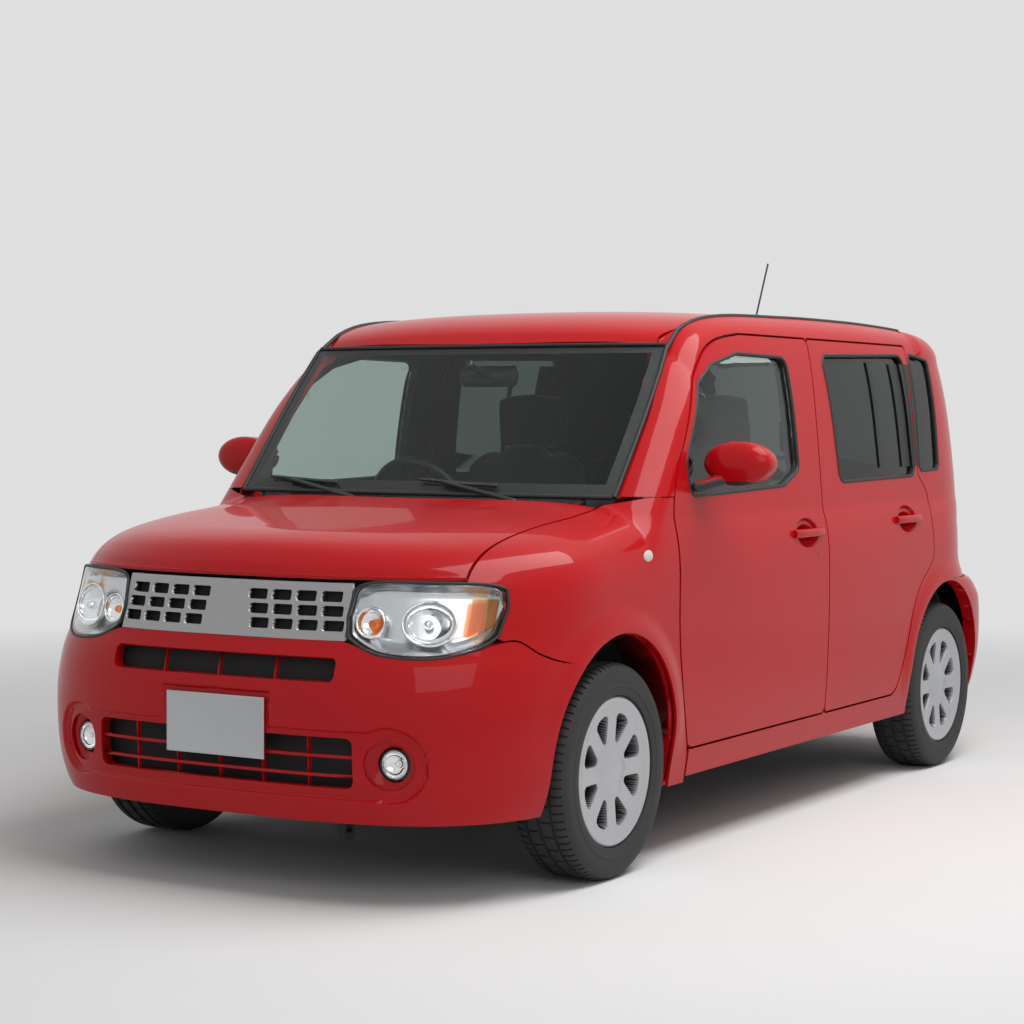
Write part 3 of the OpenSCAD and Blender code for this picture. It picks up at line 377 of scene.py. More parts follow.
def grained(name, color, rough, scale, strength, light=1.5):
    f = Finish(name, color, rough)
    patch = f.noise(7, 3)
    f.set(**{"Base Color": f.blend(patch, color, tuple(c * light for c in color)),
             "Roughness": rough - 0.06 + patch * 0.12})
    return f.bump(f.noise(scale, 3), strength).material


def brushed_silver():
    f = Finish("brushed_silver", (0.46, 0.46, 0.47), 0.3, Metallic=1.0)
    lines = f.noise(60, 3, (1, 0.6, 30))
    f.set(**{"Roughness": 0.24 + lines * 0.16,
             "Base Color": f.blend(lines, (0.27, 0.27, 0.28), (0.42, 0.42, 0.43))})
    return f.bump(lines, 0.05).material


def wheel_silver():
    f = Finish("wheel_silver", (0.44, 0.45, 0.47), 0.34, Metallic=0.7, **{"Coat Weight": 0.3})
    spots = f.noise(240, 2)
    dust = f.noise(14, 4)
    f.set(**{"Base Color": f.blend(spots, (0.40, 0.41, 0.43), (0.52, 0.53, 0.55)),
             "Roughness": 0.30 + dust * 0.14})
    return f.bump(spots, 0.02).material


def bright(name, color, rough=0.06):
    f = Finish(name, color, rough, Metallic=1.0)
    f.set(Roughness=rough + f.noise(30, 3) * 0.05)
    return f.material


def pane(name, color, rough=0.0):
    f = Finish(name, color, rough, IOR=1.28, **{"Transmission Weight": 1.0})
    f.set(Roughness=rough + f.ramp(f.noise(6, 4), 0.5, 0.9) * 0.02)
    return f.material


def rubber():
    f = Finish("tyre_rubber", (0.016, 0.016, 0.017), 0.7)
    worn = f.noise(22, 4)
    f.set(**{"Base Color": f.blend(worn, (0.012, 0.012, 0.013), (0.030, 0.030, 0.030)),
             "Roughness": 0.58 + worn * 0.25})
    return f.bump(f.noise(700, 2), 0.10).material


def seat_cloth():
    f = Finish("seat_cloth", (0.035, 0.036, 0.04), 0.9, **{"Sheen Weight": 0.25})
    weave = f.node("ShaderNodeTexWave", {"bands_direction": "Z"}, {"Vector": f.place(), "Scale": 160}, 1) \
        * f.node("ShaderNodeTexWave", {"bands_direction": "Y"}, {"Vector": f.place(), "Scale": 160}, 1)
    f.set(**{"Base Color": f.blend(weave, (0.026, 0.027, 0.030), (0.060, 0.061, 0.066)),
             "Roughness": 0.84 + f.noise(40) * 0.12})
    return f.bump(weave, 0.25).material


RED = red_paint()
BLACK = grained("black_trim", (0.012, 0.012, 0.013), 0.42, 500, 0.10)
SEAL = grained("seal_rubber", (0.010, 0.010, 0.011), 0.55, 300, 0.06)
LINER = grained("liner_plastic", (0.014, 0.014, 0.015), 0.8, 260, 0.3)
CABIN = grained("cabin_plastic", (0.030, 0.031, 0.034), 0.62, 420, 0.22)
LINING = grained("roof_lining", (0.30, 0.29, 0.27), 0.9, 700, 0.3, 1.15)
CARPET = grained("floor_carpet", (0.03, 0.03, 0.032), 0.95, 900, 0.6)
STEEL = grained("underbody_steel", (0.06, 0.06, 0.065), 0.5, 120, 0.12)
CAST = grained("cast_metal", (0.20, 0.20, 0.21), 0.48, 160, 0.25)
DARK = grained("grille_shadow", (0.006, 0.006, 0.006), 0.8, 90, 0.1)
PLATE = grained("plate_grey", (0.50, 0.52, 0.54), 0.4, 60, 0.02, 1.06)
CLOTH = seat_cloth()
SILVER = brushed_silver()
WHEEL = wheel_silver()
CHROME = bright("lamp_chrome", (0.86, 0.87, 0.88))
MIRROR = bright("mirror_silver", (0.80, 0.82, 0.84), 0.01)
SCREEN = pane("screen_glass", (0.62, 0.70, 0.67))
SIDE_GLASS = pane("side_glass", (0.52, 0.60, 0.57))
PRIVACY = pane("privacy_glass", (0.10, 0.12, 0.12))
LENS = pane("lamp_lens", (0.97, 0.98, 0.98))
AMBER = pane("amber_lens", (0.95, 0.36, 0.04), 0.05)
TAIL_RED = grained("tail_lens", (0.30, 0.006, 0.008), 0.12, 200, 0.08, 1.2)
TYRE = rubber()
LAMP_SHELL = bright("lamp_shell", (0.60, 0.62, 0.64), 0.22)
CLEAR = grained("repeater_clear", (0.62, 0.58, 0.54), 0.15, 80, 0.05, 1.1)


# Handling of objects
SKIN_REACH = 7.0


def only(o):
    bpy.ops.object.select_all(action="DESELECT")
    o.select_set(True)
    bpy.context.view_layer.objects.active = o


def edit(o):
    only(o)
    bpy.context.tool_settings.mesh_select_mode = (False, False, True)
    bpy.ops.object.mode_set(mode="EDIT")


def edit_all(o):
    edit(o)
    bpy.ops.mesh.select_all(action="SELECT")


def leave():
    bpy.ops.object.mode_set(mode="OBJECT")


def face_out(o):
    edit_all(o)
    bpy.ops.mesh.normals_make_consistent(inside=False)
    leave()


def pick(o, faces):
    """Select faces of a mesh by a mask and enter edit mode."""
    me = o.data
    me.vertices.foreach_set("select", np.zeros(len(me.vertices), bool))
    me.edges.foreach_set("select", np.zeros(len(me.edges), bool))
    me.polygons.foreach_set("select", np.asarray(faces, bool))
    edit(o)


def coords(me):
    co = np.empty(len(me.vertices) * 3)
    me.vertices.foreach_get("co", co)
    return co.reshape(-1, 3)


def set_coords(me, co):
    me.vertices.foreach_set("co", np.asarray(co, float).ravel())
    me.update()


def face_data(me):
    n, c = np.empty(len(me.polygons) * 3), np.empty(len(me.polygons) * 3)
    me.polygons.foreach_get("normal", n)
    me.polygons.foreach_get("center", c)
    return n.reshape(-1, 3), c.reshape(-1, 3)


def own(o, body, *mats):
    """Give a piece its body and its materials."""
    o.data.materials.clear()
    for m in mats:
        o.data.materials.append(m)
    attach(o, body)
    return o


def apply(o, kind, **settings):
    only(o)
    m = o.modifiers.new(kind.lower(), kind)
    for key, value in settings.items():
        setattr(m, key, value)
    bpy.ops.object.modifier_apply(modifier=m.name)


def soften(o, degrees=35):
    only(o)
    bpy.ops.object.shade_smooth_by_angle(angle=math.radians(degrees))


def copy_of(node, name):
    o = bpy.data.objects.new(name, NODES[node].data.copy())
    bpy.context.scene.collection.objects.link(o)
    o.data.materials.clear()
    edit_all(o)
    bpy.ops.mesh.remove_doubles(threshold=2e-5)
    leave()
    return o


def mesh_piece(name, verts, faces):
    me = bpy.data.meshes.new(name)
    me.from_pydata([tuple(v) for v in verts], [], faces)
    o = bpy.data.objects.new(name, me)
    bpy.context.scene.collection.objects.link(o)
    return o


def mirrored(o, name, body=None):
    """The same piece on the other side of the car."""
    m = bpy.data.objects.new(name, o.data.copy())
    bpy.context.scene.collection.objects.link(m)
    co = coords(m.data)
    co[:, 1] *= -1
    set_coords(m.data, co)
    edit_all(m)
    bpy.ops.mesh.flip_normals()
    leave()
    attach(m, body or o.get("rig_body", "body"))
    return m


def primitive(name, add, **settings):
    bpy.ops.object.select_all(action="DESELECT")
    add(**settings)
    o = bpy.context.view_layer.objects.active
    o.name = o.data.name = name
    return o


def skin_shading(me, outer, full, least=-2.0):
    """Shade outer faces by the skin's directions at each vertex, where the two agree by the least cosine."""
    corner = np.empty(len(me.loops) * 3)
    me.corner_normals.foreach_get("vector", corner)
    corner = corner.reshape(-1, 3)
    owner = np.empty(len(me.loops), np.int32)
    me.loops.foreach_get("vertex_index", owner)
    agree = np.repeat(outer, [f.loop_total for f in me.polygons]) \
        & (np.einsum("ij,ij->i", corner, full[owner]) > least)
    corner[agree] = full[owner][agree]
    me.normals_split_custom_set([tuple(c) for c in corner])


def refit(node, form, mat, sunk, cuts=2):
    """The node's own shape with its outer faces, marked by the second slot, drawn smoothly onto the skin."""
    o = copy_of(node, node + "_panel")
    me = o.data
    p = coords(me) / MM
    d, n = measure(form, p)
    near = abs(d + sunk) < SKIN_REACH
    normals, _ = face_data(me)
    outer = np.zeros(len(me.polygons), bool)
    for f in me.polygons:
        v = list(f.vertices)
        outer[f.index] = near[v].all() and float(normals[f.index] @ n[v].mean(0)) > 0.55
    own(o, BODY_OF[node], mat, mat)
    me.polygons.foreach_set("material_index", outer.astype(np.int32))
    pick(o, outer)
    bpy.ops.mesh.subdivide(number_cuts=cuts)
    leave()
    kind = np.empty(len(me.polygons), np.int32)
    me.polygons.foreach_get("material_index", kind)
    on_skin = np.zeros(len(me.vertices), bool)
    for f in me.polygons:
        if kind[f.index]:
            on_skin[list(f.vertices)] = True
    p = coords(me) / MM
    for _ in range(4):
        d, n = measure(form, p[on_skin])
        p[on_skin] -= np.clip(d + sunk, -12, 12)[:, None] * n
    set_coords(me, p * MM)
    soften(o, 32)
    full = np.zeros((len(me.vertices), 3))
    full[on_skin] = measure(form, p[on_skin])[1]
    skin_shading(me, kind == 1, full, 0.5)
    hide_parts(node)
    return o


def keep_shape(node, mat, bevel=0.0, name=None, degrees=35):
    """The node's own shape with softened edges."""
    o = copy_of(node, name or node + "_piece")
    if bevel:
        apply(o, "BEVEL", width=bevel * MM, segments=2, limit_method="ANGLE", angle_limit=math.radians(38),
              use_clamp_overlap=True)
    soften(o, degrees)
    own(o, BODY_OF[node], mat)
    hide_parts(node)
    return o


def dress(node, mat):
    o = NODES[node]
    o.data.materials.clear()
    o.data.materials.append(mat)
    return o


# Places on the skin, in metres
def rows(*values):
    return [np.atleast_1d(np.asarray(v, float)) for v in values]


def on_side(x, z, lift=0.0):
    x, z = rows(x, z)
    return np.stack([x, side_y(x, z) + lift, z], 1) * MM


def on_roof(x, y, lift=0.0):
    x, y = rows(x, y)
    return np.stack([x, y, roof_z(x, y) + lift], 1) * MM


def on_screen(y, z, lift=0.0):
    y, z = rows(y, z)
    return np.stack([screen_skin(y, z) + lift, y, z], 1) * MM


def tube(name, points, radius, body, mat, closed=False, sides=2):
    """A round strip along a line of points."""
    line = bpy.data.curves.new(name, "CURVE")
    line.dimensions = "3D"
    line.bevel_depth, line.bevel_resolution, line.use_fill_caps = radius * MM, sides, True
    run = line.splines.new("POLY")
    run.points.add(len(points) - 1)
    run.points.foreach_set("co", np.c_[np.asarray(points, float), np.ones(len(points))].ravel())
    run.use_cyclic_u = closed
    o = bpy.data.objects.new(name, line)
    bpy.context.scene.collection.objects.link(o)
    only(o)
    bpy.ops.object.convert(target="MESH")
    o = bpy.context.view_layer.objects.active
    soften(o, 60)
    return own(o, body, mat)


def outline(corners, r, step=30, turns=96):
    """Rounded outline round a set of corners, in even steps."""
    c = np.array(corners, float)
    a = np.linspace(0, 2 * math.pi, turns, endpoint=False)
    d = np.stack([np.cos(a), np.sin(a)], 1)
    p = c[np.argmax(d @ c.T, axis=1)] + r * d
    out = []
    for a, b in zip(p, np.roll(p, -1, 0)):
        n = max(1, int(np.linalg.norm(b - a) // step))
        out += [mix(a, b, i / n) for i in range(n)]
    return np.array(out)


def sheet_piece(name, us, vs, place, body, mat, thick=0.0):
    """A sheet over the shares us and vs, with its thickness inwards."""
    pts = [place(u, v) for u in us for v in vs]
    nv = len(vs)
    faces = [(i * nv + j, (i + 1) * nv + j, (i + 1) * nv + j + 1, i * nv + j + 1)
             for i in range(len(us) - 1) for j in range(nv - 1)]
    o = mesh_piece(name, np.asarray(pts).reshape(-1, 3), faces)
    if thick:
        apply(o, "SOLIDIFY", thickness=thick * MM, offset=-1)
    face_out(o)
    soften(o, 40)
    return own(o, body, mat)


def cushion(name, centre, size, lean, crown, seams=()):
    """A crowned pad with pulled-in sides and sewn channels across it."""
    o = primitive(name, bpy.ops.mesh.primitive_cube_add, size=2)
    edit_all(o)
    bpy.ops.mesh.subdivide(number_cuts=11)
    leave()
    p = coords(o.data)
    q = p.copy()
    for k in range(3):
        a, b = (k + 1) % 3, (k + 2) % 3
        q[:, k] = p[:, k] * np.sqrt(1 - 0.30 * p[:, a] ** 4 * 0.5 - 0.30 * p[:, b] ** 4 * 0.5
                                    + 0.12 * p[:, a] ** 4 * p[:, b] ** 4)
    q[:, 2] *= 1 + crown * (1 - p[:, 0] ** 2) * (1 - p[:, 1] ** 2)
    for y in seams:
        q[:, 2] -= 0.10 * np.exp(-((p[:, 1] - y) / 0.05) ** 2) * (p[:, 2] > 0)
    q *= np.array(size) / 2 * MM
    turn = np.array(Matrix.Rotation(math.radians(lean), 3, "Y"))
    set_coords(o.data, q @ turn.T + np.array(centre) * MM)
    apply(o, "SUBSURF", levels=1, render_levels=1)
    soften(o, 60)
    own(o, "body", CLOTH)
    return o


# Painted panels: a dense sheet on the skin, trimmed along its shut lines, over the node's own sunk solid
FRONT_WINDOW = [(650, 1098), (655, 1150), (508, 1366), (412, 1416), (240, 1452), (-72, 1448), (-64, 1150),
                (30, 1114)]
REAR_WINDOW = [(-448, 1462), (-470, 1116), (-1080, 1124), (-1102, 1478)]
QUARTER_WINDOW = [(-1197, 1126), (-1338, 1130), (-1372, 1482), (-1238, 1498)]
GATE_WINDOW = [(-470, 1110), (470, 1110), (455, 1470), (-455, 1470)]
WINDOW_R, QUARTER_R, GATE_R = 36, 22, 40


def within(corners, grow, across=0):
    """Test for a point inside a rounded window, seen along Y (across 0) or X (across 1)."""
    a = np.linspace(0, 2 * math.pi, 48, endpoint=False)
    d = np.stack([np.cos(a), np.sin(a)], 1)
    support = (d @ np.array(corners, float).T).max(1) + grow
    return lambda x, y, z: bool(np.all(d @ np.array([y if across else x, z]) <= support))


def prism(loop, along_x=False, lo=300.0, hi=1100.0):
    """Straight block through an outline drawn over X and Z, or over Y and Z with along_x."""
    k = len(loop)
    put = (lambda d, q: (d, q[0], q[1])) if along_x else (lambda d, q: (q[0], d, q[1]))
    pts = [put(d, q) for d in (lo, hi) for q in loop]
    faces = [tuple(range(k)), tuple(range(k, 2 * k))]
    faces += [(i, (i + 1) % k, k + (i + 1) % k, k + i) for i in range(k)]
    o = mesh_piece("trimming_block", np.array(pts) * MM, faces)
    face_out(o)
    return o


def trim(o, block, operation="DIFFERENCE"):
    apply(o, "BOOLEAN", object=block, operation=operation, solver="EXACT")
    bpy.data.objects.remove(block)


def grid_normals(us, vs, p, n):
    """Directions taken from the grid itself round the rear corner, where two skins blend."""
    g = p.reshape(len(us), len(vs), 3)
    across = np.cross(np.gradient(g, axis=0), np.gradient(g, axis=1)).reshape(-1, 3)
    across /= np.maximum(np.linalg.norm(across, axis=1), 1e-9)[:, None]
    across *= np.sign(np.einsum("ij,ij->i", across, n))[:, None]
    u, v = (a.ravel() for a in np.meshgrid(us, vs, indexing="ij"))
    return np.where(((u < 0) & (v > 1480))[:, None], across, n)


def sheet(name, us, vs, place, form, depth=9.0, corner=False):
    """Closed sheet over a grid of shares; returns it with the skin's points and directions."""
    u, v = (a.ravel() for a in np.meshgrid(us, vs, indexing="ij"))
    p = place(u, v)
    n = measure(form, p)[1]
    if corner:
        n = grid_normals(us, vs, p, n)
    rows, cols = len(us), len(vs)
    i, j = (a.ravel() for a in np.meshgrid(np.arange(rows - 1), np.arange(cols - 1), indexing="ij"))
    quads = np.stack([i * cols + j, (i + 1) * cols + j, (i + 1) * cols + j + 1, i * cols + j + 1], 1)
    rim = [(k, 0) for k in range(rows)] + [(rows - 1, k) for k in range(1, cols)] \
        + [(k, cols - 1) for k in range(rows - 2, -1, -1)] + [(0, k) for k in range(cols - 2, 0, -1)]
    rim = [a * cols + b for a, b in rim]
    t = rows * cols
    sides = [(a, b, b + t, a + t) for a, b in zip(rim, rim[1:] + rim[:1])]
    o = mesh_piece(name, np.r_[p, p - depth * n] * MM, quads.tolist() + (quads[:, ::-1] + t).tolist() + sides)
    face_out(o)
    return o, p, n


def paint(o, p, n, body, reveal=None, flip=1):
    """Materials by side, and the skin's own directions on its outer faces."""
    me = o.data
    tree = KDTree(len(p))
    mirror = np.array([1, flip, 1])
    p, n = p * mirror, n * mirror
    for k, q in enumerate(p):
        tree.insert(q, k)
    tree.balance()
    normals, centres = face_data(me)
    near = np.array([tree.find(c)[1] for c in centres / MM])
    lean = np.einsum("ij,ij->i", normals, n[near])
    off = np.einsum("ij,ij->i", centres / MM - p[near], n[near])
    kind = np.where((lean > 0.75) & (abs(off) < 4), 1, np.where(lean < -0.6, 2, 0)).astype(np.int32)
    if reveal is not None:
        for k in np.flatnonzero(kind == 0):
            if reveal(*(centres[k] / MM)):
                kind[k] = 3
    own(o, body, RED, RED, CABIN, SEAL)
    me.polygons.foreach_set("material_index", kind)
    soften(o, 40)
    full = np.zeros((len(me.vertices), 3))
    for k, q in enumerate(coords(me) / MM):
        for _, hit, d in tree.find_n(q, 4):
            full[k] += n[hit] / (d + 0.05) ** 2
    full /= np.linalg.norm(full, axis=1)[:, None]
    skin_shading(me, kind == 1, full)


def sink(node, form, rest, inner, depth=10.0, reveal=None):
    """The node's own solid with its outer faces drawn back under the painted sheet."""
    o = copy_of(node, node + "_frame")
    p = coords(o.data) / MM
    for _ in range(3):
        d, n = measure(form, p)
        p -= (np.clip(d + depth, 0, 60) * (d > -depth))[:, None] * n
    set_coords(o.data, p * MM)
    soften(o, 32)
    own(o, BODY_OF[node], rest, inner, SEAL)
    normals, centres = face_data(o.data)
    kind = (np.einsum("ij,ij->i", normals, measure(form, centres / MM)[1]) < -0.5).astype(np.int32)
    for k in np.flatnonzero(kind == 0) if reveal else ():
        kind[k] = 2 * reveal(*(centres[k] / MM))
    o.data.polygons.foreach_set("material_index", kind)
    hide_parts(node)
    return o


def corner_cut(z, low, high, r):
    """Inset of an edge near its ends, which rounds the corners there."""
    t = np.clip(np.minimum(z - low, high - z), 0, r)
    return r - np.sqrt(np.maximum(r * r - (r - t) ** 2, 0))


def door_loop(front, grow=0.0):
    z = np.linspace(DOOR_BOTTOM, DOOR_TOP, 150)
    share = (z - DOOR_BOTTOM) / (DOOR_TOP - DOOR_BOTTOM)
    tall = z + grow * (2 * share - 1)
    mid = curve(DOOR_MID, z)
    lead = curve(DOOR_FRONT, z) if front else mid - SHUT_GAP / 2
    back = mid + SHUT_GAP / 2 if front else curve(DOOR_REAR, z)
    round_low = corner_cut(z, DOOR_BOTTOM, DOOR_TOP, 22)
    lead = lead + grow - round_low * (1 if front else 0.5)
    back = back - grow + round_low * 0.7
    return np.r_[np.stack([back, tall], 1), np.stack([lead, tall], 1)[::-1]]


def arch_loop(axle):
    a = np.linspace(0, math.pi, 90)
    top = np.stack([axle + ARCH_R * np.cos(a), ARCH_Z + ARCH_R * np.sin(a)], 1)
    return np.r_[[(axle + ARCH_R, 60)], top, [(axle - ARCH_R, 60)]]


def block_loop(x0, x1, z0, z1):
    return np.array([(x0, z0), (x1, z0), (x1, z1), (x0, z1)], float)


def handle_cup(x, z):
    """Depth of the finger hollows behind the door handles."""
    depth = 0
    for hx, hz in HANDLES:
        bowl_sq = CUP_R ** 2 - ((x - hx) / 2) ** 2 - ((z - hz) / 1.15) ** 2
        depth = depth + np.maximum(np.sqrt(np.maximum(bowl_sq, 0)) - CUP_LIP, 0)
    return depth


def door_form(x, y, z):
    return side_form(x, y, z) + handle_cup(x, z)


def pair(o, p, n, body, reveal=None):
    """Paint a left piece and its twin on the right."""
    twin = mirrored(o, o.name.replace("_left", "_right"), body + "right")
    paint(o, p, n, body + "left", reveal)
    paint(twin, p, n, body + "right", reveal, -1)


for front, window, tag in ((True, FRONT_WINDOW, "front"), (False, REAR_WINDOW, "rear")):
    xs = np.arange(-340, 850, 13.0) if front else np.arange(-1250, -240, 13.0)
    zs = np.arange(300, 1572, 13.0)
    finer = zip((xs, zs), HANDLES[not front], (93, 63))
    xs, zs = (np.unique(np.r_[a, np.arange(h - r, h + r, 4.0)]) for a, h, r in finer)
    o, p, n = sheet(tag + "_door_skin_left", xs, zs, lambda x, z: np.stack(
        [x, side_y(x, z) - handle_cup(x, z), z], 1), door_form)
    trim(o, prism(door_loop(front)), "INTERSECT")
    trim(o, prism(outline(window, WINDOW_R, EDGE_STEP)))
    hinge_x = HINGE_XS[not front]
    pocket_y = side_at(hinge_x, 640) - 12 + 7
    for z in HINGE_ZS:
        pocket = block_loop(hinge_x - 11, hinge_x + 90, z - HINGE_HALF, z + HINGE_HALF)
        trim(o, prism(pocket, False, 675, pocket_y))
    pair(o, p, n, tag + "_door_", within(window, WINDOW_R + 3))
    for side in "lr":
        sink("door_" + tag[0] + side, side_form, RED, CABIN, reveal=within(window, WINDOW_R + 8))


# Front wings
WING_IN, WING_TIP_Z, WING_LOW, WING_STEPS = 656, 872, 215, 24
SEAM_GAP = 4


def hood_line(x):
    return top_z(x, np.full_like(x, HOOD_HALF + SHUT_GAP))


def wing_front(z):
    """Reach of the wing behind the lamp and the bumper, before their outlines are cut from it."""
    ahead = rounded(WING_IN / low_half(z), curve(NOSE_POWER, z))
    return np.minimum(curve(FENDER_FRONT, np.minimum(z, WING_TIP_Z)) + 90,
                      NOSE_START + (nose_x(z) - NOSE_START) * ahead)


def fender_place(u, v):
    z = np.full_like(u, 640.0)
    for _ in range(WING_STEPS):
        back = curve(DOOR_FRONT, np.minimum(z, 1052)) + SHUT_GAP + WING_EASE
        x = mix(back, wing_front(np.minimum(z, WING_TIP_Z)), u)
        z = mix(z, mix(WING_LOW, np.minimum(hood_line(x), PILLAR_FOOT - 4), v), 0.5)
    return np.stack([x, side_y(x, z), z], 1)


def bumper_top(y):
    return curve(BUMPER_KEYS, abs(y))


LAMP_IN, LAMP_OUT = 384, 734


def lamp_z(s, upper, grow):
    y = mix(LAMP_IN, LAMP_OUT, s)
    end = mix(853, 848, s) if upper else bumper_top(y) + SEAM_GAP
    return mix(mix(762, 790, s), end, rounded(abs(2 * s - 1), 5)) + (grow if upper else -grow)


def lamp_loop(grow):
    s = np.linspace(0, 1, 60)
    y = mix(LAMP_IN - grow, LAMP_OUT + grow, s)
    low, high = ([lamp_z(k, upper, grow) for k in s] for upper in (False, True))
    return np.r_[np.stack([y, low], 1), np.stack([y, high], 1)[-2:0:-1]]


o, p, n = sheet("wing_skin_left", np.linspace(0, 1, 110), np.linspace(0, 1, 110), fender_place, side_form)
trim(o, prism(arch_loop(AXLES[0])))
trim(o, prism(block_loop(500, 738, 100, 300)))
trim(o, prism(lamp_loop(SEAM_GAP), True, *NOSE_CUT))
ys = np.linspace(400, 920, 105)
seam = np.stack([ys, bumper_top(ys) + SEAM_GAP], 1)
trim(o, prism(np.r_[seam, [(920, 100), (400, 100)]], True, 1300, 2100))
paint(mirrored(o, "wing_skin_right"), p, n, "body", None, -1)
paint(o, p, n, "body")
for side in ("left", "right"):
    sink("fender_" + side, side_form, RED, LINER, 16)


# Bonnet and roof
def hood_place(s, t):
    y = HOOD_HALF * s
    rear = HOOD_REAR - 42 * abs(s) ** 2
    x = mix(rear, nose_skin(y, np.full_like(y, HOOD_LIP_Z)) + 0.6, np.sin(t * math.pi / 2))
    return np.stack([x, y, np.maximum(HOOD_LIP_Z, top_z(x, y))], 1)


def roof_place(s, t):
    a = np.radians(np.minimum(-90 * np.minimum(t, 0), 62))
    back = np.stack([TAIL_START - 496 * np.sin(a) ** 0.64 - np.maximum(-t - 0.689, 0) * 60,
                     637 * s * np.cos(a) ** 0.64], 1)
    row = mix(TAIL_START, 606, np.sin(np.maximum(t, 0) * math.pi / 2) ** 0.8)
    bow = 1 - rounded(abs(s) * ROOF_EDGE / BOW_HALF, 3)
    x = row - SCREEN_BOW * bow * smooth(np.maximum(t, 0) * 1.3 - 0.3)
    half = np.minimum(ROOF_EDGE, cabin_y(x, edge_z(x))) - 1.2
    x, y = np.where((t < 0)[:, None], back, np.stack([x, half * s], 1)).T
    return np.stack([x, y, roof_z(x, y)], 1)


o, p, n = sheet("bonnet_skin", np.linspace(-1, 1, 130), np.linspace(0, 1, 100), hood_place, hood_form)
paint(o, p, n, "bonnet")
sink("bonnet", hood_form, RED, LINER)
o, p, n = sheet("roof_skin", np.linspace(-1, 1, 90), np.r_[np.linspace(-1, -0.01, 45), np.linspace(0, 1, 90)],
                roof_place, roof_form)
paint(o, p, n, "body")
sink("roof", roof_form, RED, LINING)


# Body sides with the rear quarters
SHEET_TOP = 1626


def pillar_front(z):
    return screen_x(z) - SCREEN_BOW - 6.5 + SCREEN_BOW * rounded(screen_share(z), 3)


def side_front(z):
    foot = pillar_front(np.full_like(z, float(PILLAR_FOOT)))
    return np.where(z < PILLAR_FOOT, mix(735, foot, smooth((z - 700) / 300)), pillar_front(z))


def wing_loop():
    """Outline of the part in front of the door and below the pillar foot, which the wing covers."""
    z = np.linspace(DOOR_BOTTOM + 30, PILLAR_FOOT - 1, 60)
    return np.r_[np.stack([curve(DOOR_FRONT, z) - 30, z], 1), [(1300, z[-1]), (1300, z[0])]]


def side_place(u, v):
    top = np.full_like(u, 1540.0)
    for _ in range(6):
        x = mix(TAIL_START, side_front(top), np.maximum(u, 0))
        top = edge_z(x)
    z = np.where(v < WAIST_Z, v, mix(WAIST_Z, top, (v - WAIST_Z) / (SHEET_TOP - WAIST_Z)))
    x = mix(TAIL_START, side_front(z), np.maximum(u, 0))
    return np.where((u < 0)[:, None], quarter_place(u, v), np.stack([x, side_y(x, z), z], 1))


def quarter_place(u, v):
    z = np.minimum(v, QUARTER_TOP)
    power, wide = curve(TAIL_POWER, np.maximum(z, BUMPER_SEAM + 2)), tail_half(z)
    a = np.maximum(-u, 0) * np.arccos(np.minimum(1, (GATE_HALF + SHUT_GAP) / wide) ** (power / 2))
    x = TAIL_START - (TAIL_START - tail_x(z)) * np.sin(a) ** (2 / power)
    y = wide * np.cos(a) ** (2 / power)
    f = np.clip((v - QUARTER_TOP) / (SHEET_TOP - QUARTER_TOP), 0, 1) * math.pi / 2
    ex, ey = TAIL_START - 500 * np.sin(a) ** 0.64, ROOF_EDGE * np.cos(a) ** 0.64
    inward = 1 - np.cos(f)
    return np.stack([mix(x, ex, inward), mix(y, ey, inward), mix(z, roof_z(ex, ey), np.sin(f))], 1)


def side_walls():
    us = np.r_[np.linspace(-1, -0.03, 38), np.linspace(0, 1, 210)]
    vs = np.linspace(232, SHEET_TOP, 150)
    o, p, n = sheet("body_skin_left", us, vs, side_place, quarter_form, corner=True)
    for front in (True, False):
        trim(o, prism(door_loop(front, SHUT_GAP)))
    trim(o, prism(wing_loop()))
    trim(o, prism(arch_loop(AXLES[1])))
    trim(o, prism(block_loop(-3000, AXLES[1] - 60, 0, BUMPER_SEAM), False, 0, 1100))
    paint(mirrored(o, "body_skin_right"), p, n, "body", None, -1)
    trim(o, prism(outline(QUARTER_WINDOW, QUARTER_R, EDGE_STEP)))
    paint(o, p, n, "body", within(QUARTER_WINDOW, QUARTER_R + 3))


side_walls()
for side in ("left", "right"):
    sink("body_side_" + side, quarter_form, RED, CABIN, reveal=within(QUARTER_WINDOW, QUARTER_R + 8))


# Front bumper
INTAKE, SLOT, FOG_HOLE_R = (405, 338, 428, 22), (355, 612, 640, 18), 66
BUMPER_FACE = 700
BUMPER_TURN = math.acos((BUMPER_FACE / low_half(600.0)) ** 1.5)
BUMPER_END = math.radians(4.2)


def nose_plan(z, a, depth=0.0):
    power = curve(NOSE_POWER, z)
    return (NOSE_START + (nose_x(z) - NOSE_START - depth) * np.sin(a) ** (2 / power),
            (low_half(z) - depth) * np.cos(a) ** (2 / power))


def bumper_place(s, v):
    a = np.where(abs(s) < 1, np.arccos((np.minimum(abs(s), 1) * BUMPER_FACE / low_half(600.0)) ** 1.5),
                 mix(BUMPER_TURN, BUMPER_END, abs(s) - 1))
    top = np.full_like(a, 640.0)
    for _ in range(5):
        top = bumper_top(nose_plan(top, a)[1])
    z = mix(222, top - 0.3, v)
    x, y = nose_plan(z, a)
    x, y = nose_plan(z, a, bumper_dish(y, z))
    return np.stack([x, (y + front_flare(x, z)) * np.sign(s), z], 1)


def mouth_loop(half, low, high, r):
    return outline(block_loop(-half, half, low, high), r, 15)


def fog_loop(side):
    a = np.linspace(0, 2 * math.pi, 64, endpoint=False)
    return np.stack([side * FOG_Y + FOG_HOLE_R * np.cos(a), FOG_Z + FOG_HOLE_R * np.sin(a)], 1)


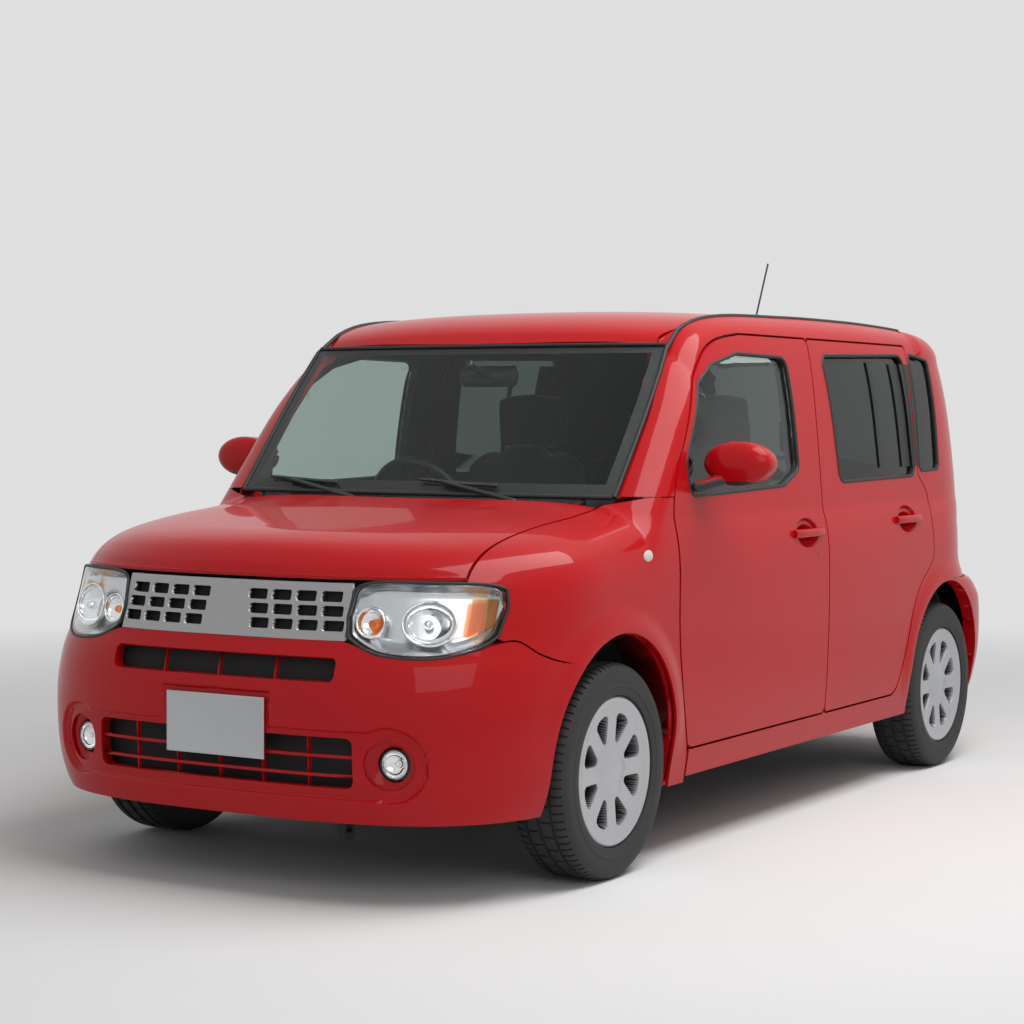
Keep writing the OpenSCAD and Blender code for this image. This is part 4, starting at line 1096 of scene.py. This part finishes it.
half = np.r_[np.linspace(0.004, 1, 110), np.linspace(1.02, 2, 40)]
o, p, n = sheet("bumper_skin", np.r_[-half[::-1], half], np.linspace(0, 1, 100), bumper_place, bumper_form)
for loop in (mouth_loop(*INTAKE), mouth_loop(*SLOT), fog_loop(1), fog_loop(-1)):
    trim(o, prism(loop, True, *NOSE_CUT))
trim(o, prism(arch_loop(AXLES[0]), False, *SIDE_CUT))
paint(o, p, n, "body")
sink("front_bumper", bumper_form, RED, LINER)


# Tail
TAIL_LAMP_YS, TAIL_LAMP_ZS, TAIL_LAMP_R = (430, 640), (520, 560), 20


def rear_bumper_place(s, v):
    z = mix(226, BUMPER_SEAM - 5, v)
    power, deep = curve(TAIL_POWER, z), TAIL_START - tail_x(z)
    wide = tail_half(z)
    turn = 0.5 ** (1 / power)
    k = np.clip(abs(s), 0, 1) * turn
    side = mix(turn, 0.06, np.clip(abs(s) - 1, 0, 1))
    along = np.where(abs(s) < 1, rounded(k, power), side)
    across = np.where(abs(s) < 1, k, rounded(side, power))
    return np.stack([TAIL_START - deep * along, wide * across * np.sign(s), z], 1)


half = np.r_[np.linspace(0.004, 1, 60), np.linspace(1.015, 2, 50)]
o, p, n = sheet("rear_bumper_skin", np.r_[-half[::-1], half], np.linspace(0, 1, 60), rear_bumper_place,
                tail_form)
trim(o, prism(arch_loop(AXLES[1]), False, *SIDE_CUT))
for side in (1, -1):
    corners = block_loop(*TAIL_LAMP_YS, *TAIL_LAMP_ZS) * (side, 1)
    trim(o, prism(outline(corners[::side], TAIL_LAMP_R, EDGE_STEP), True, *TAIL_CUT))
paint(o, p, n, "body")
sink("rear_bumper", tail_form, RED, LINER)


def gate_place(s, z):
    y = s * (GATE_HALF - 12 * smooth((z - 1440) / 86))
    return np.stack([tail_skin(y, z), y, z], 1)


o, p, n = sheet("tailgate_skin", np.linspace(-1, 1, 130), np.linspace(GATE_BOTTOM, GATE_TOP, 100),
                gate_place, tail_form)
trim(o, prism(outline(GATE_WINDOW, GATE_R, EDGE_STEP), True, *TAIL_CUT))
for z in GATE_HINGE_ZS:
    trim(o, prism(block_loop(-650, -549, z - HINGE_HALF, z + HINGE_HALF), True, -1810.7, TAIL_CUT[1]))
paint(o, p, n, "tailgate", within(GATE_WINDOW, GATE_R + 3, 1))
sink("tailgate", tail_form, RED, CABIN, reveal=within(GATE_WINDOW, GATE_R + 8, 1))


# Glass
def on_quarter(x, z, lift=0.0):
    """Place on the rear quarter, found by closing in on the skin."""
    p = np.stack([x, np.full_like(x, 760.0), z], 1)
    for _ in range(12):
        d, n = measure(quarter_form, p)
        p[:, 1] -= (d - lift) * np.sign(n[:, 1]) / np.maximum(abs(n[:, 1]), 0.3)
    return p * MM


def quarter_pane():
    o, p, n = sheet("quarter_pane", np.linspace(-1402, -1172, 40), np.linspace(1100, 1522, 50),
                    lambda x, z: on_quarter(x, z, -8) / MM, quarter_form, 4)
    trim(o, prism(outline(QUARTER_WINDOW, QUARTER_R + 3, EDGE_STEP)), "INTERSECT")
    soften(o, 40)
    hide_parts("quarter_glass")
    return own(o, "body", PRIVACY)


panes = [refit("tailgate_glass", tail_form, PRIVACY, 8, 3), quarter_pane()]
for side in "lr":
    panes += [refit("glass_f" + side, side_form, SIDE_GLASS, 12),
              refit("glass_r" + side, side_form, PRIVACY, 12)]


def screen_half(z):
    return screen_share(z) * screen_wide(z)


def screen_place(s, v):
    z = mix(1062, 1511, v)
    y = s * screen_half(z)
    return np.stack([screen_skin(y, z), y, z], 1)


def windscreen():
    """Laminated pane with its dark printed border on the inner face."""
    us = np.linspace(-1, 1, 60)
    o, p, n = sheet("windscreen_pane", us, np.linspace(0, 1, 40), screen_place, screen_form, 5)
    own(o, "body", SCREEN)
    soften(o, 40)
    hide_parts("windscreen")
    vs = (us + 1) / 2
    for tag, across, along in (("top", us, (0.945, 1)), ("foot", us, (0, 0.07)),
                               ("left", (0.945, 1), vs), ("right", (-1, -0.945), vs)):
        strip, p, n = sheet("screen_border_" + tag, np.array(across), np.array(along),
                            lambda s, v: screen_place(s, v) - np.array([6, 0, 0]), screen_form, 1)
        soften(strip, 40)
        own(strip, "body", SEAL)
    return o


panes.append(windscreen())
for pane_piece in panes:
    pane_piece.visible_shadow = False

# Seals, mouldings and dark trim round the windows
for side in (1, -1):
    tag = "left" if side > 0 else "right"
    flip = np.array([1, side, 1])
    zs = np.linspace(1058, 1500, 16)
    pillar = on_screen(screen_half(zs) + 5, zs, 0)
    xs = np.linspace(470, -1330, 40)
    gutter = on_roof(xs, np.full_like(xs, ROOF_EDGE - 3), 1)
    tube("roof_moulding_" + tag, np.r_[pillar, gutter] * flip, 7, "body", SEAL)
    for end, window, body in (("front", FRONT_WINDOW, "front_door_"), ("rear", REAR_WINDOW, "rear_door_")):
        x, z = outline(window, WINDOW_R + 4).T
        tube(end + "_window_seal_" + tag, on_side(x, z, -2) * flip, 6, body + tag, SEAL, True)
    share = np.linspace(0, 1, 8)
    for name, body, lo, hi, lift in (
            ("rear_window_bar_", "rear_door_", lambda z: -812, lambda z: -846, -7),
            ("rear_window_edge_", "rear_door_", lambda z: -1022, lambda z: -1098, -7),
            ("rear_pillar_trim_", "rear_door_", lambda z: -1104, lambda z: curve(DOOR_REAR, z) + 1, 0.8),
            ("body_pillar_trim_", "body", lambda z: curve(DOOR_REAR, z) - SHUT_GAP - 1,
             lambda z: mix(-1175, -1216, (z - 1126) / 372), 0.8)):
        if side > 0 or body != "body":
            sheet_piece(name + tag, share, np.linspace(1118, 1488, 30), lambda s, z: on_side(
                np.array([mix(float(lo(z)), float(hi(z)), s)]), np.array([z]), lift)[0] * flip,
                body if body == "body" else body + tag, SEAL, 0.8)
ys = np.linspace(-1, 1, 40)
top = np.full_like(ys, 1513.0)
tube("screen_top_seal", on_screen(ys * screen_half(top), top, 2), 6, "body", SEAL)
low = np.full_like(ys, 1058.0)
tube("screen_foot_seal", on_screen(ys * screen_half(low), low, 2), 7, "body", SEAL)
x, z = outline(QUARTER_WINDOW, QUARTER_R + 4).T
tube("quarter_seal_left", on_quarter(x, z, -2), 6, "body", SEAL, True)
x, z = outline(GATE_WINDOW, GATE_R + 4).T
tube("tailgate_seal", np.stack([tail_skin(x, z) + 2, x, z], 1) * MM, 6, "tailgate", SEAL, True)


# Lamps, grille and plate
def lamp_point(s, v, depth, grow=0.0):
    y = mix(LAMP_IN - grow, LAMP_OUT + grow, s)
    z = mix(lamp_z(s, False, grow), lamp_z(s, True, grow), v)
    x = nose_at(y, z) - depth * (1 - 0.35 * s * s) - 2
    return np.array([x, y - depth * 0.85 * s * s, float(z)]) * MM


def axes(aim):
    """Level, upward and forward directions of a lamp that looks along aim."""
    z = Vector(aim).normalized()
    x = Vector((0, 0, 1)).cross(z).normalized()
    return x, z.cross(x), z


def bowl(name, centre, aim, wide, high, depth, mat):
    """Half an egg, open along aim: a reflector or, with depth below zero, a domed lens."""
    o = primitive(name, bpy.ops.mesh.primitive_uv_sphere_add, segments=48, ring_count=24, radius=1)
    edit_all(o)
    bpy.ops.mesh.bisect(plane_co=(0, 0, 0), plane_no=(0, 0, 1), clear_outer=True)
    leave()
    size = np.array([wide, high, depth]) * MM
    set_coords(o.data, (coords(o.data) * size) @ np.array(axes(aim)) + np.array(centre) * MM)
    apply(o, "SOLIDIFY", thickness=1.2 * MM, offset=0)
    soften(o, 40)
    return own(o, "body", mat)


def ring(name, centre, aim, wide, high, thick, mat):
    x, y, _ = axes(aim)
    a = np.linspace(0, 2 * math.pi, 56, endpoint=False)
    pts = [np.array(centre) * MM + np.array(x * math.cos(t) * wide + y * math.sin(t) * high) * MM for t in a]
    return tube(name, pts, thick, "body", mat, True)


def facing(y, z):
    p = np.array([[nose_at(y, z), y, z]])
    return p[0], measure(nose_form, p)[1][0]


def headlamp():
    ss, vs = np.linspace(0.0, 1.0, 44), np.linspace(0, 1, 18)
    lens = sheet_piece("headlamp_lens_left", ss, vs, lambda s, v: lamp_point(s, v, 0), "body", LENS, 2.5)
    lens.visible_shadow = False

    def pan(s, v):
        rim = smooth(min(s, 1 - s) * 350 / 26) * smooth(min(v, 1 - v) * 120 / 18)
        return lamp_point(s, v, 8 + 44 * rim, -3)
    made = [lens, sheet_piece("headlamp_pan_left", ss, vs, pan, "body", LAMP_SHELL, 1.5)]
    p, n = facing(587, 752)
    aim = mix(n, np.array([1, 0, 0]), 0.35)
    made.append(bowl("headlamp_bowl_left", p - 14 * n, aim, 72, 58, 40, CHROME))
    made.append(ring("headlamp_rim_left", p - 13 * n, aim, 73, 59, 3, CHROME))
    made.append(bowl("headlamp_bulb_left", p - 40 * n + 16 * aim, aim, 13, 13, -22, CHROME))
    p, n = facing(441, 752)
    aim = mix(n, np.array([1, 0, 0]), 0.35)
    made.append(bowl("sidelamp_bowl_left", p - 12 * n, aim, 38, 38, 24, CHROME))
    made.append(ring("sidelamp_rim_left", p - 10 * n, aim, 39, 39, 3.5, CHROME))
    made.append(bowl("sidelamp_bulb_left", p - 30 * n, aim, 11, 11, -16, AMBER))
    made.append(sheet_piece("indicator_left", np.linspace(0.82, 0.965, 10), np.linspace(0.2, 0.78, 8),
                            lambda s, v: lamp_point(s, v, 16), "body", AMBER, 5))
    edge = [lamp_point(s, 0, 0, 4) for s in np.linspace(0, 1, 48)] \
        + [lamp_point(s, 1, 0, 4) for s in np.linspace(1, 0, 48)]
    made.append(tube("headlamp_gasket_left", edge, 4.5, "body", SEAL, True))
    for o in made:
        twin = mirrored(o, o.name.replace("_left", "_right"))
        twin.visible_shadow = o.visible_shadow
    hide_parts("headlamps")


headlamp()


def fog_lamp():
    centre, aim = np.array([1846, FOG_Y, FOG_Z]), (1, 0.14, 0)
    lens = bowl("fog_lens_left", centre + np.array([2, 0, 0]), aim, 38, 38, -8, LENS)
    made = [lens, bowl("fog_bowl_left", centre, aim, 36, 36, 24, CHROME),
            ring("fog_ring_left", centre, aim, 40, 40, 3, BLACK),
            bowl("fog_bulb_left", centre - np.array([20, 0, 0]), aim, 9, 9, -14, CHROME)]
    lens.visible_shadow = False
    for o in made:
        mirrored(o, o.name.replace("_left", "_right"))
    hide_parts("fog_lamps")


fog_lamp()


def nose_backing(name, half, z0, z1, depth):
    return sheet_piece(
        name, np.linspace(z0, z1, 6), np.linspace(-1, 1, 24),
        lambda z, s: np.array([nose_at(half * s, z) - depth, half * s, z]) * MM, "body", DARK, 3)


nose_backing("intake_shadow", 440, 296, 470, 70)
nose_backing("slot_shadow", 385, 584, 668, 48)
nose_backing("grille_shadow", 376, 703, 848, 34)
refit("grille", nose_form, SILVER, 3)
refit("tail_lamps", tail_form, TAIL_RED, 2)


def number_plate():
    """Blank plate with a turned rim, on the flat of the bumper."""
    o = primitive("number_plate", bpy.ops.mesh.primitive_cube_add, size=1, location=(1.937, 0, 0.462),
                  scale=(0.003, 0.33, 0.165))
    bpy.ops.object.transform_apply(location=True, rotation=True, scale=True)
    n, _ = face_data(o.data)
    pick(o, n[:, 0] > 0.9)
    bpy.ops.mesh.inset(thickness=0.006)
    bpy.ops.mesh.inset(thickness=0.002, depth=-0.001)
    leave()
    apply(o, "BEVEL", width=0.0012, segments=2, limit_method="ANGLE")
    soften(o, 40)
    return own(o, "body", PLATE)


number_plate()


def small_dome(name, centre, size, body, mat):
    o = primitive(name, bpy.ops.mesh.primitive_uv_sphere_add, segments=32, ring_count=16, radius=1)
    set_coords(o.data, coords(o.data) * np.array(size) * MM + np.array(centre) * MM)
    soften(o, 60)
    return own(o, body, mat)


REPEATER_X, REPEATER_Z, LOCK_X, LOCK_Z, MIRROR_FOOT = 1001, 896, -176, 846, 1104
repeater = small_dome("repeater_left", (REPEATER_X, side_at(REPEATER_X, REPEATER_Z), REPEATER_Z), (27, 7, 18),
                      "body", CLEAR)
mirrored(repeater, "repeater_right")

# Door furniture
for (hx, hz), tag in zip(HANDLES, ("front", "rear")):
    out = side_at(hx, hz)
    t = np.linspace(-1, 1, 24)
    bar = np.stack([hx + 108 * t, out + 5 + 7 * (1 - t ** 4), np.full_like(t, hz)], 1) * MM
    grip = tube(tag + "_handle_left", bar, 12, tag + "_door_left", RED, False, 6)
    co = coords(grip.data)
    co[:, 1] = out * MM + (co[:, 1] - out * MM) * 0.8
    co[:, 2] = hz * MM + (co[:, 2] - hz * MM) * 1.15
    set_coords(grip.data, co)
    mirrored(grip, tag + "_handle_right", tag + "_door_right")
for side in ("left", "right"):
    flip = 1 if side == "left" else -1
    mirror = keep_shape("mirror_" + side, RED, name="mirror_shell_" + side, degrees=60)
    mirror.data.materials.append(BLACK)
    _, c = face_data(mirror.data)
    mirror.data.polygons.foreach_set("material_index", (c[:, 2] < MIRROR_FOOT * MM).astype(np.int32))
    small_dome("mirror_glass_" + side, (557, 915 * flip, 1155), (4, 98, 56), "front_door_" + side, MIRROR)
    small_dome("lock_" + side, (LOCK_X, flip * (side_at(LOCK_X, LOCK_Z) - 1), LOCK_Z), (9, 3, 9),
               "front_door_" + side, STEEL)

# Small dark pieces that keep their own shape
for node in ("wipers", "aerial", "interior_mirror", "steering_wheel"):
    keep_shape(node, BLACK, degrees=50)


# Wheels, with half of the tyre's outline as radius and distance from its middle
TYRE_LINE = [(191.5, 62), (212.5, 74), (213.5, 84), (222, 86.5), (236, 86.6), (238, 88.2), (243, 88.2),
             (245, 87), (262, 87.4), (276, 86.5), (288, 82.5), (295, 77), (300, 70), (302.6, 62), (303.6, 54),
             (304, 46.5), (297, 45), (297, 37.5), (304, 36), (304, 22), (304, 6.5), (297, 5)]
SIPE_DEPTH = 0.004


def tyre(node):
    """Spun tyre with ribs, grooves and shoulder sipes."""
    side = 1 if node.endswith("l") else -1
    axle = AXLES[0] if "_f" in node else AXLES[1]
    line = TYRE_LINE + [(a, -b) for a, b in reversed(TYRE_LINE)]
    turns = 320
    a = np.linspace(0, 2 * math.pi, turns, endpoint=False)
    pts = [(axle + q * math.cos(t), side * WHEEL_Y + side * b, HUB_Z + q * math.sin(t))
           for t in a for q, b in line]
    n = len(line)
    faces = [(i * n + j, ((i + 1) % turns) * n + j, ((i + 1) % turns) * n + (j + 1) % n, i * n + (j + 1) % n)
             for i in range(turns) for j in range(n)]
    o = mesh_piece(node + "_tread", np.array(pts) * MM, faces)
    face_out(o)
    j = np.tile(np.arange(n), turns)
    i = np.repeat(np.arange(turns), n)
    b = np.array([(line[k][1] + line[(k + 1) % n][1]) / 2 for k in range(n)])[j]
    q = np.array([(line[k][0] + line[(k + 1) % n][0]) / 2 for k in range(n)])[j]
    cut = ((abs(b) > 46.5) & (q > 296) & ((i + (b > 0) * 2) % 4 == 0)) \
        | ((abs(b) > 7) & (abs(b) < 35) & (q > 303) & ((i + (b > 0) * 3) % 8 == 0))
    pick(o, cut)
    bpy.ops.mesh.extrude_region_shrink_fatten(TRANSFORM_OT_shrink_fatten={"value": -SIPE_DEPTH})
    leave()
    soften(o, 30)
    own(o, BODY_OF[node], TYRE)
    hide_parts(node)


for corner in ("fl", "fr", "rl", "rr"):
    tyre("tyre_" + corner)
    wheel = keep_shape("wheel_" + corner, WHEEL, bevel=2.5, name="wheel_cover_" + corner)
    wheel.data.materials.append(LINER)
    _, c = face_data(wheel.data)
    wheel.data.polygons.foreach_set("material_index", (abs(c[:, 1]) < (WHEEL_Y + 50) * MM).astype(np.int32))

# Cabin
for side, y in (("left", 355), ("right", -355)):
    seat = cushion("front_cushion_" + side, (-20, y, 492), (500, 470, 140), -3, 0.14, (-0.5, 0.5))
    cushion("front_back_" + side, (-335, y, 815), (150, 440, 690), 8, 0.1, (-0.5, 0.5))
    cushion("front_headrest_" + side, (-345, y, 1272), (92, 250, 178), 4, 0.1)
    for i in (-60, 60):
        tube("headrest_post_" + side + ("_in" if i * y < 0 else "_out"),
             np.array([(-350, y + i, 1080), (-346, y + i, 1200)]) * MM, 7, "body", STEEL)
    if side == "left":
        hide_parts("front_seats")
bench = cushion("rear_cushion", (-720, 0, 470), (560, 1170, 180), -3, 0.1, (-0.34, 0.34))
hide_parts("rear_seat")
cushion("rear_back", (-1080, 0, 815), (130, 1160, 660), 10, 0.06, (-0.34, 0.34))
for k, y in enumerate((-360, 0, 360)):
    cushion("rear_headrest_%d" % k, (-1150, y, 1225), (80, 220, 130), 6, 0.1)
keep_shape("dashboard", CABIN, bevel=10)
for node, mat in (("platform", CARPET), ("engine", CAST), ("front_subframe", STEEL), ("rear_axle", STEEL),
                  ("fuel_tank", BLACK), ("exhaust", CAST), ("wheel_liners", LINER), ("hinges", STEEL),
                  ("knuckle_left", CAST), ("knuckle_right", CAST), ("scuttle", BLACK)):
    dress(node, mat)


# Studio
def floor_finish():
    f = Finish("studio_floor", (0.80, 0.80, 0.80), 0.8, **{"Specular IOR Level": 0.1})
    away = f.node("ShaderNodeVectorMath", {"operation": "LENGTH"}, {0: f.place()}, 1)
    f.set(**{"Base Color": f.blend(f.noise(0.6), (0.79, 0.79, 0.79), (0.81, 0.81, 0.81)),
             "Alpha": f.ramp(away, 7.0, 2.6)})
    return f.material


floor = primitive("studio_floor", bpy.ops.mesh.primitive_plane_add, size=120)
floor.data.materials.append(floor_finish())


def soft_box(name, place, aim, wide, deep, watts):
    bpy.ops.object.light_add(type="AREA", location=place)
    lamp = bpy.context.view_layer.objects.active
    lamp.name = name
    lamp.data.shape, lamp.data.size, lamp.data.size_y, lamp.data.energy = "RECTANGLE", wide, deep, watts
    lamp.rotation_euler = (Vector(aim) - Vector(place)).to_track_quat("-Z", "Y").to_euler()


soft_box("roof_light", (0.2, 2.3, 5.0), (0.1, 0.2, 0.6), 6.0, 2.4, 240)
soft_box("front_light", (8.0, 6.5, 5.4), (0.3, 0.2, 0.7), 7.0, 4.0, 130)

# Pale backdrop for what is seen or reflected, and less of its light on the car
SKY_LIGHT, SKY_SEEN = 0.34, 0.74
world = bpy.data.worlds.new("studio")
bpy.context.scene.world = world
world.use_nodes = True
tree = world.node_tree
sky = tree.nodes["Background"]
path = tree.nodes.new("ShaderNodeLightPath")
seen = path.outputs["Is Camera Ray"]
for kind in ("Is Glossy Ray", "Is Transmission Ray"):
    either = tree.nodes.new("ShaderNodeMath")
    either.operation = "MAXIMUM"
    tree.links.new(seen, either.inputs[0])
    tree.links.new(path.outputs[kind], either.inputs[1])
    seen = either.outputs[0]
share = tree.nodes.new("ShaderNodeMix")
tree.links.new(seen, share.inputs[0])
share.inputs[2].default_value, share.inputs[3].default_value = SKY_LIGHT, SKY_SEEN
tree.links.new(share.outputs[0], sky.inputs["Strength"])
sky.inputs["Color"].default_value = (1, 1, 1, 1)
bpy.context.scene.view_settings.view_transform = "Standard"

# Camera at the photograph's place
EYE, YAW, PITCH, ROLL = (6.875504, 3.905636, 1.292833), 3.68368437, -0.0410454, 0.00410068
FOCAL_PX, FRAME_PX, SENSOR_MM = 2331.606, 1024, 36
ahead = Vector((math.cos(YAW) * math.cos(PITCH), math.sin(YAW) * math.cos(PITCH), math.sin(PITCH)))
level = Vector((math.sin(YAW), -math.cos(YAW), 0))
over = level.cross(ahead)
across = level * math.cos(ROLL) + over * math.sin(ROLL)
up = over * math.cos(ROLL) - level * math.sin(ROLL)
bpy.ops.object.camera_add(location=EYE)
camera = bpy.context.view_layer.objects.active
camera.rotation_euler = Matrix([across, up, -ahead]).transposed().to_euler()
camera.data.sensor_width = SENSOR_MM
camera.data.lens = FOCAL_PX / FRAME_PX * SENSOR_MM
camera.data.clip_end = 200
bpy.context.scene.camera = camera
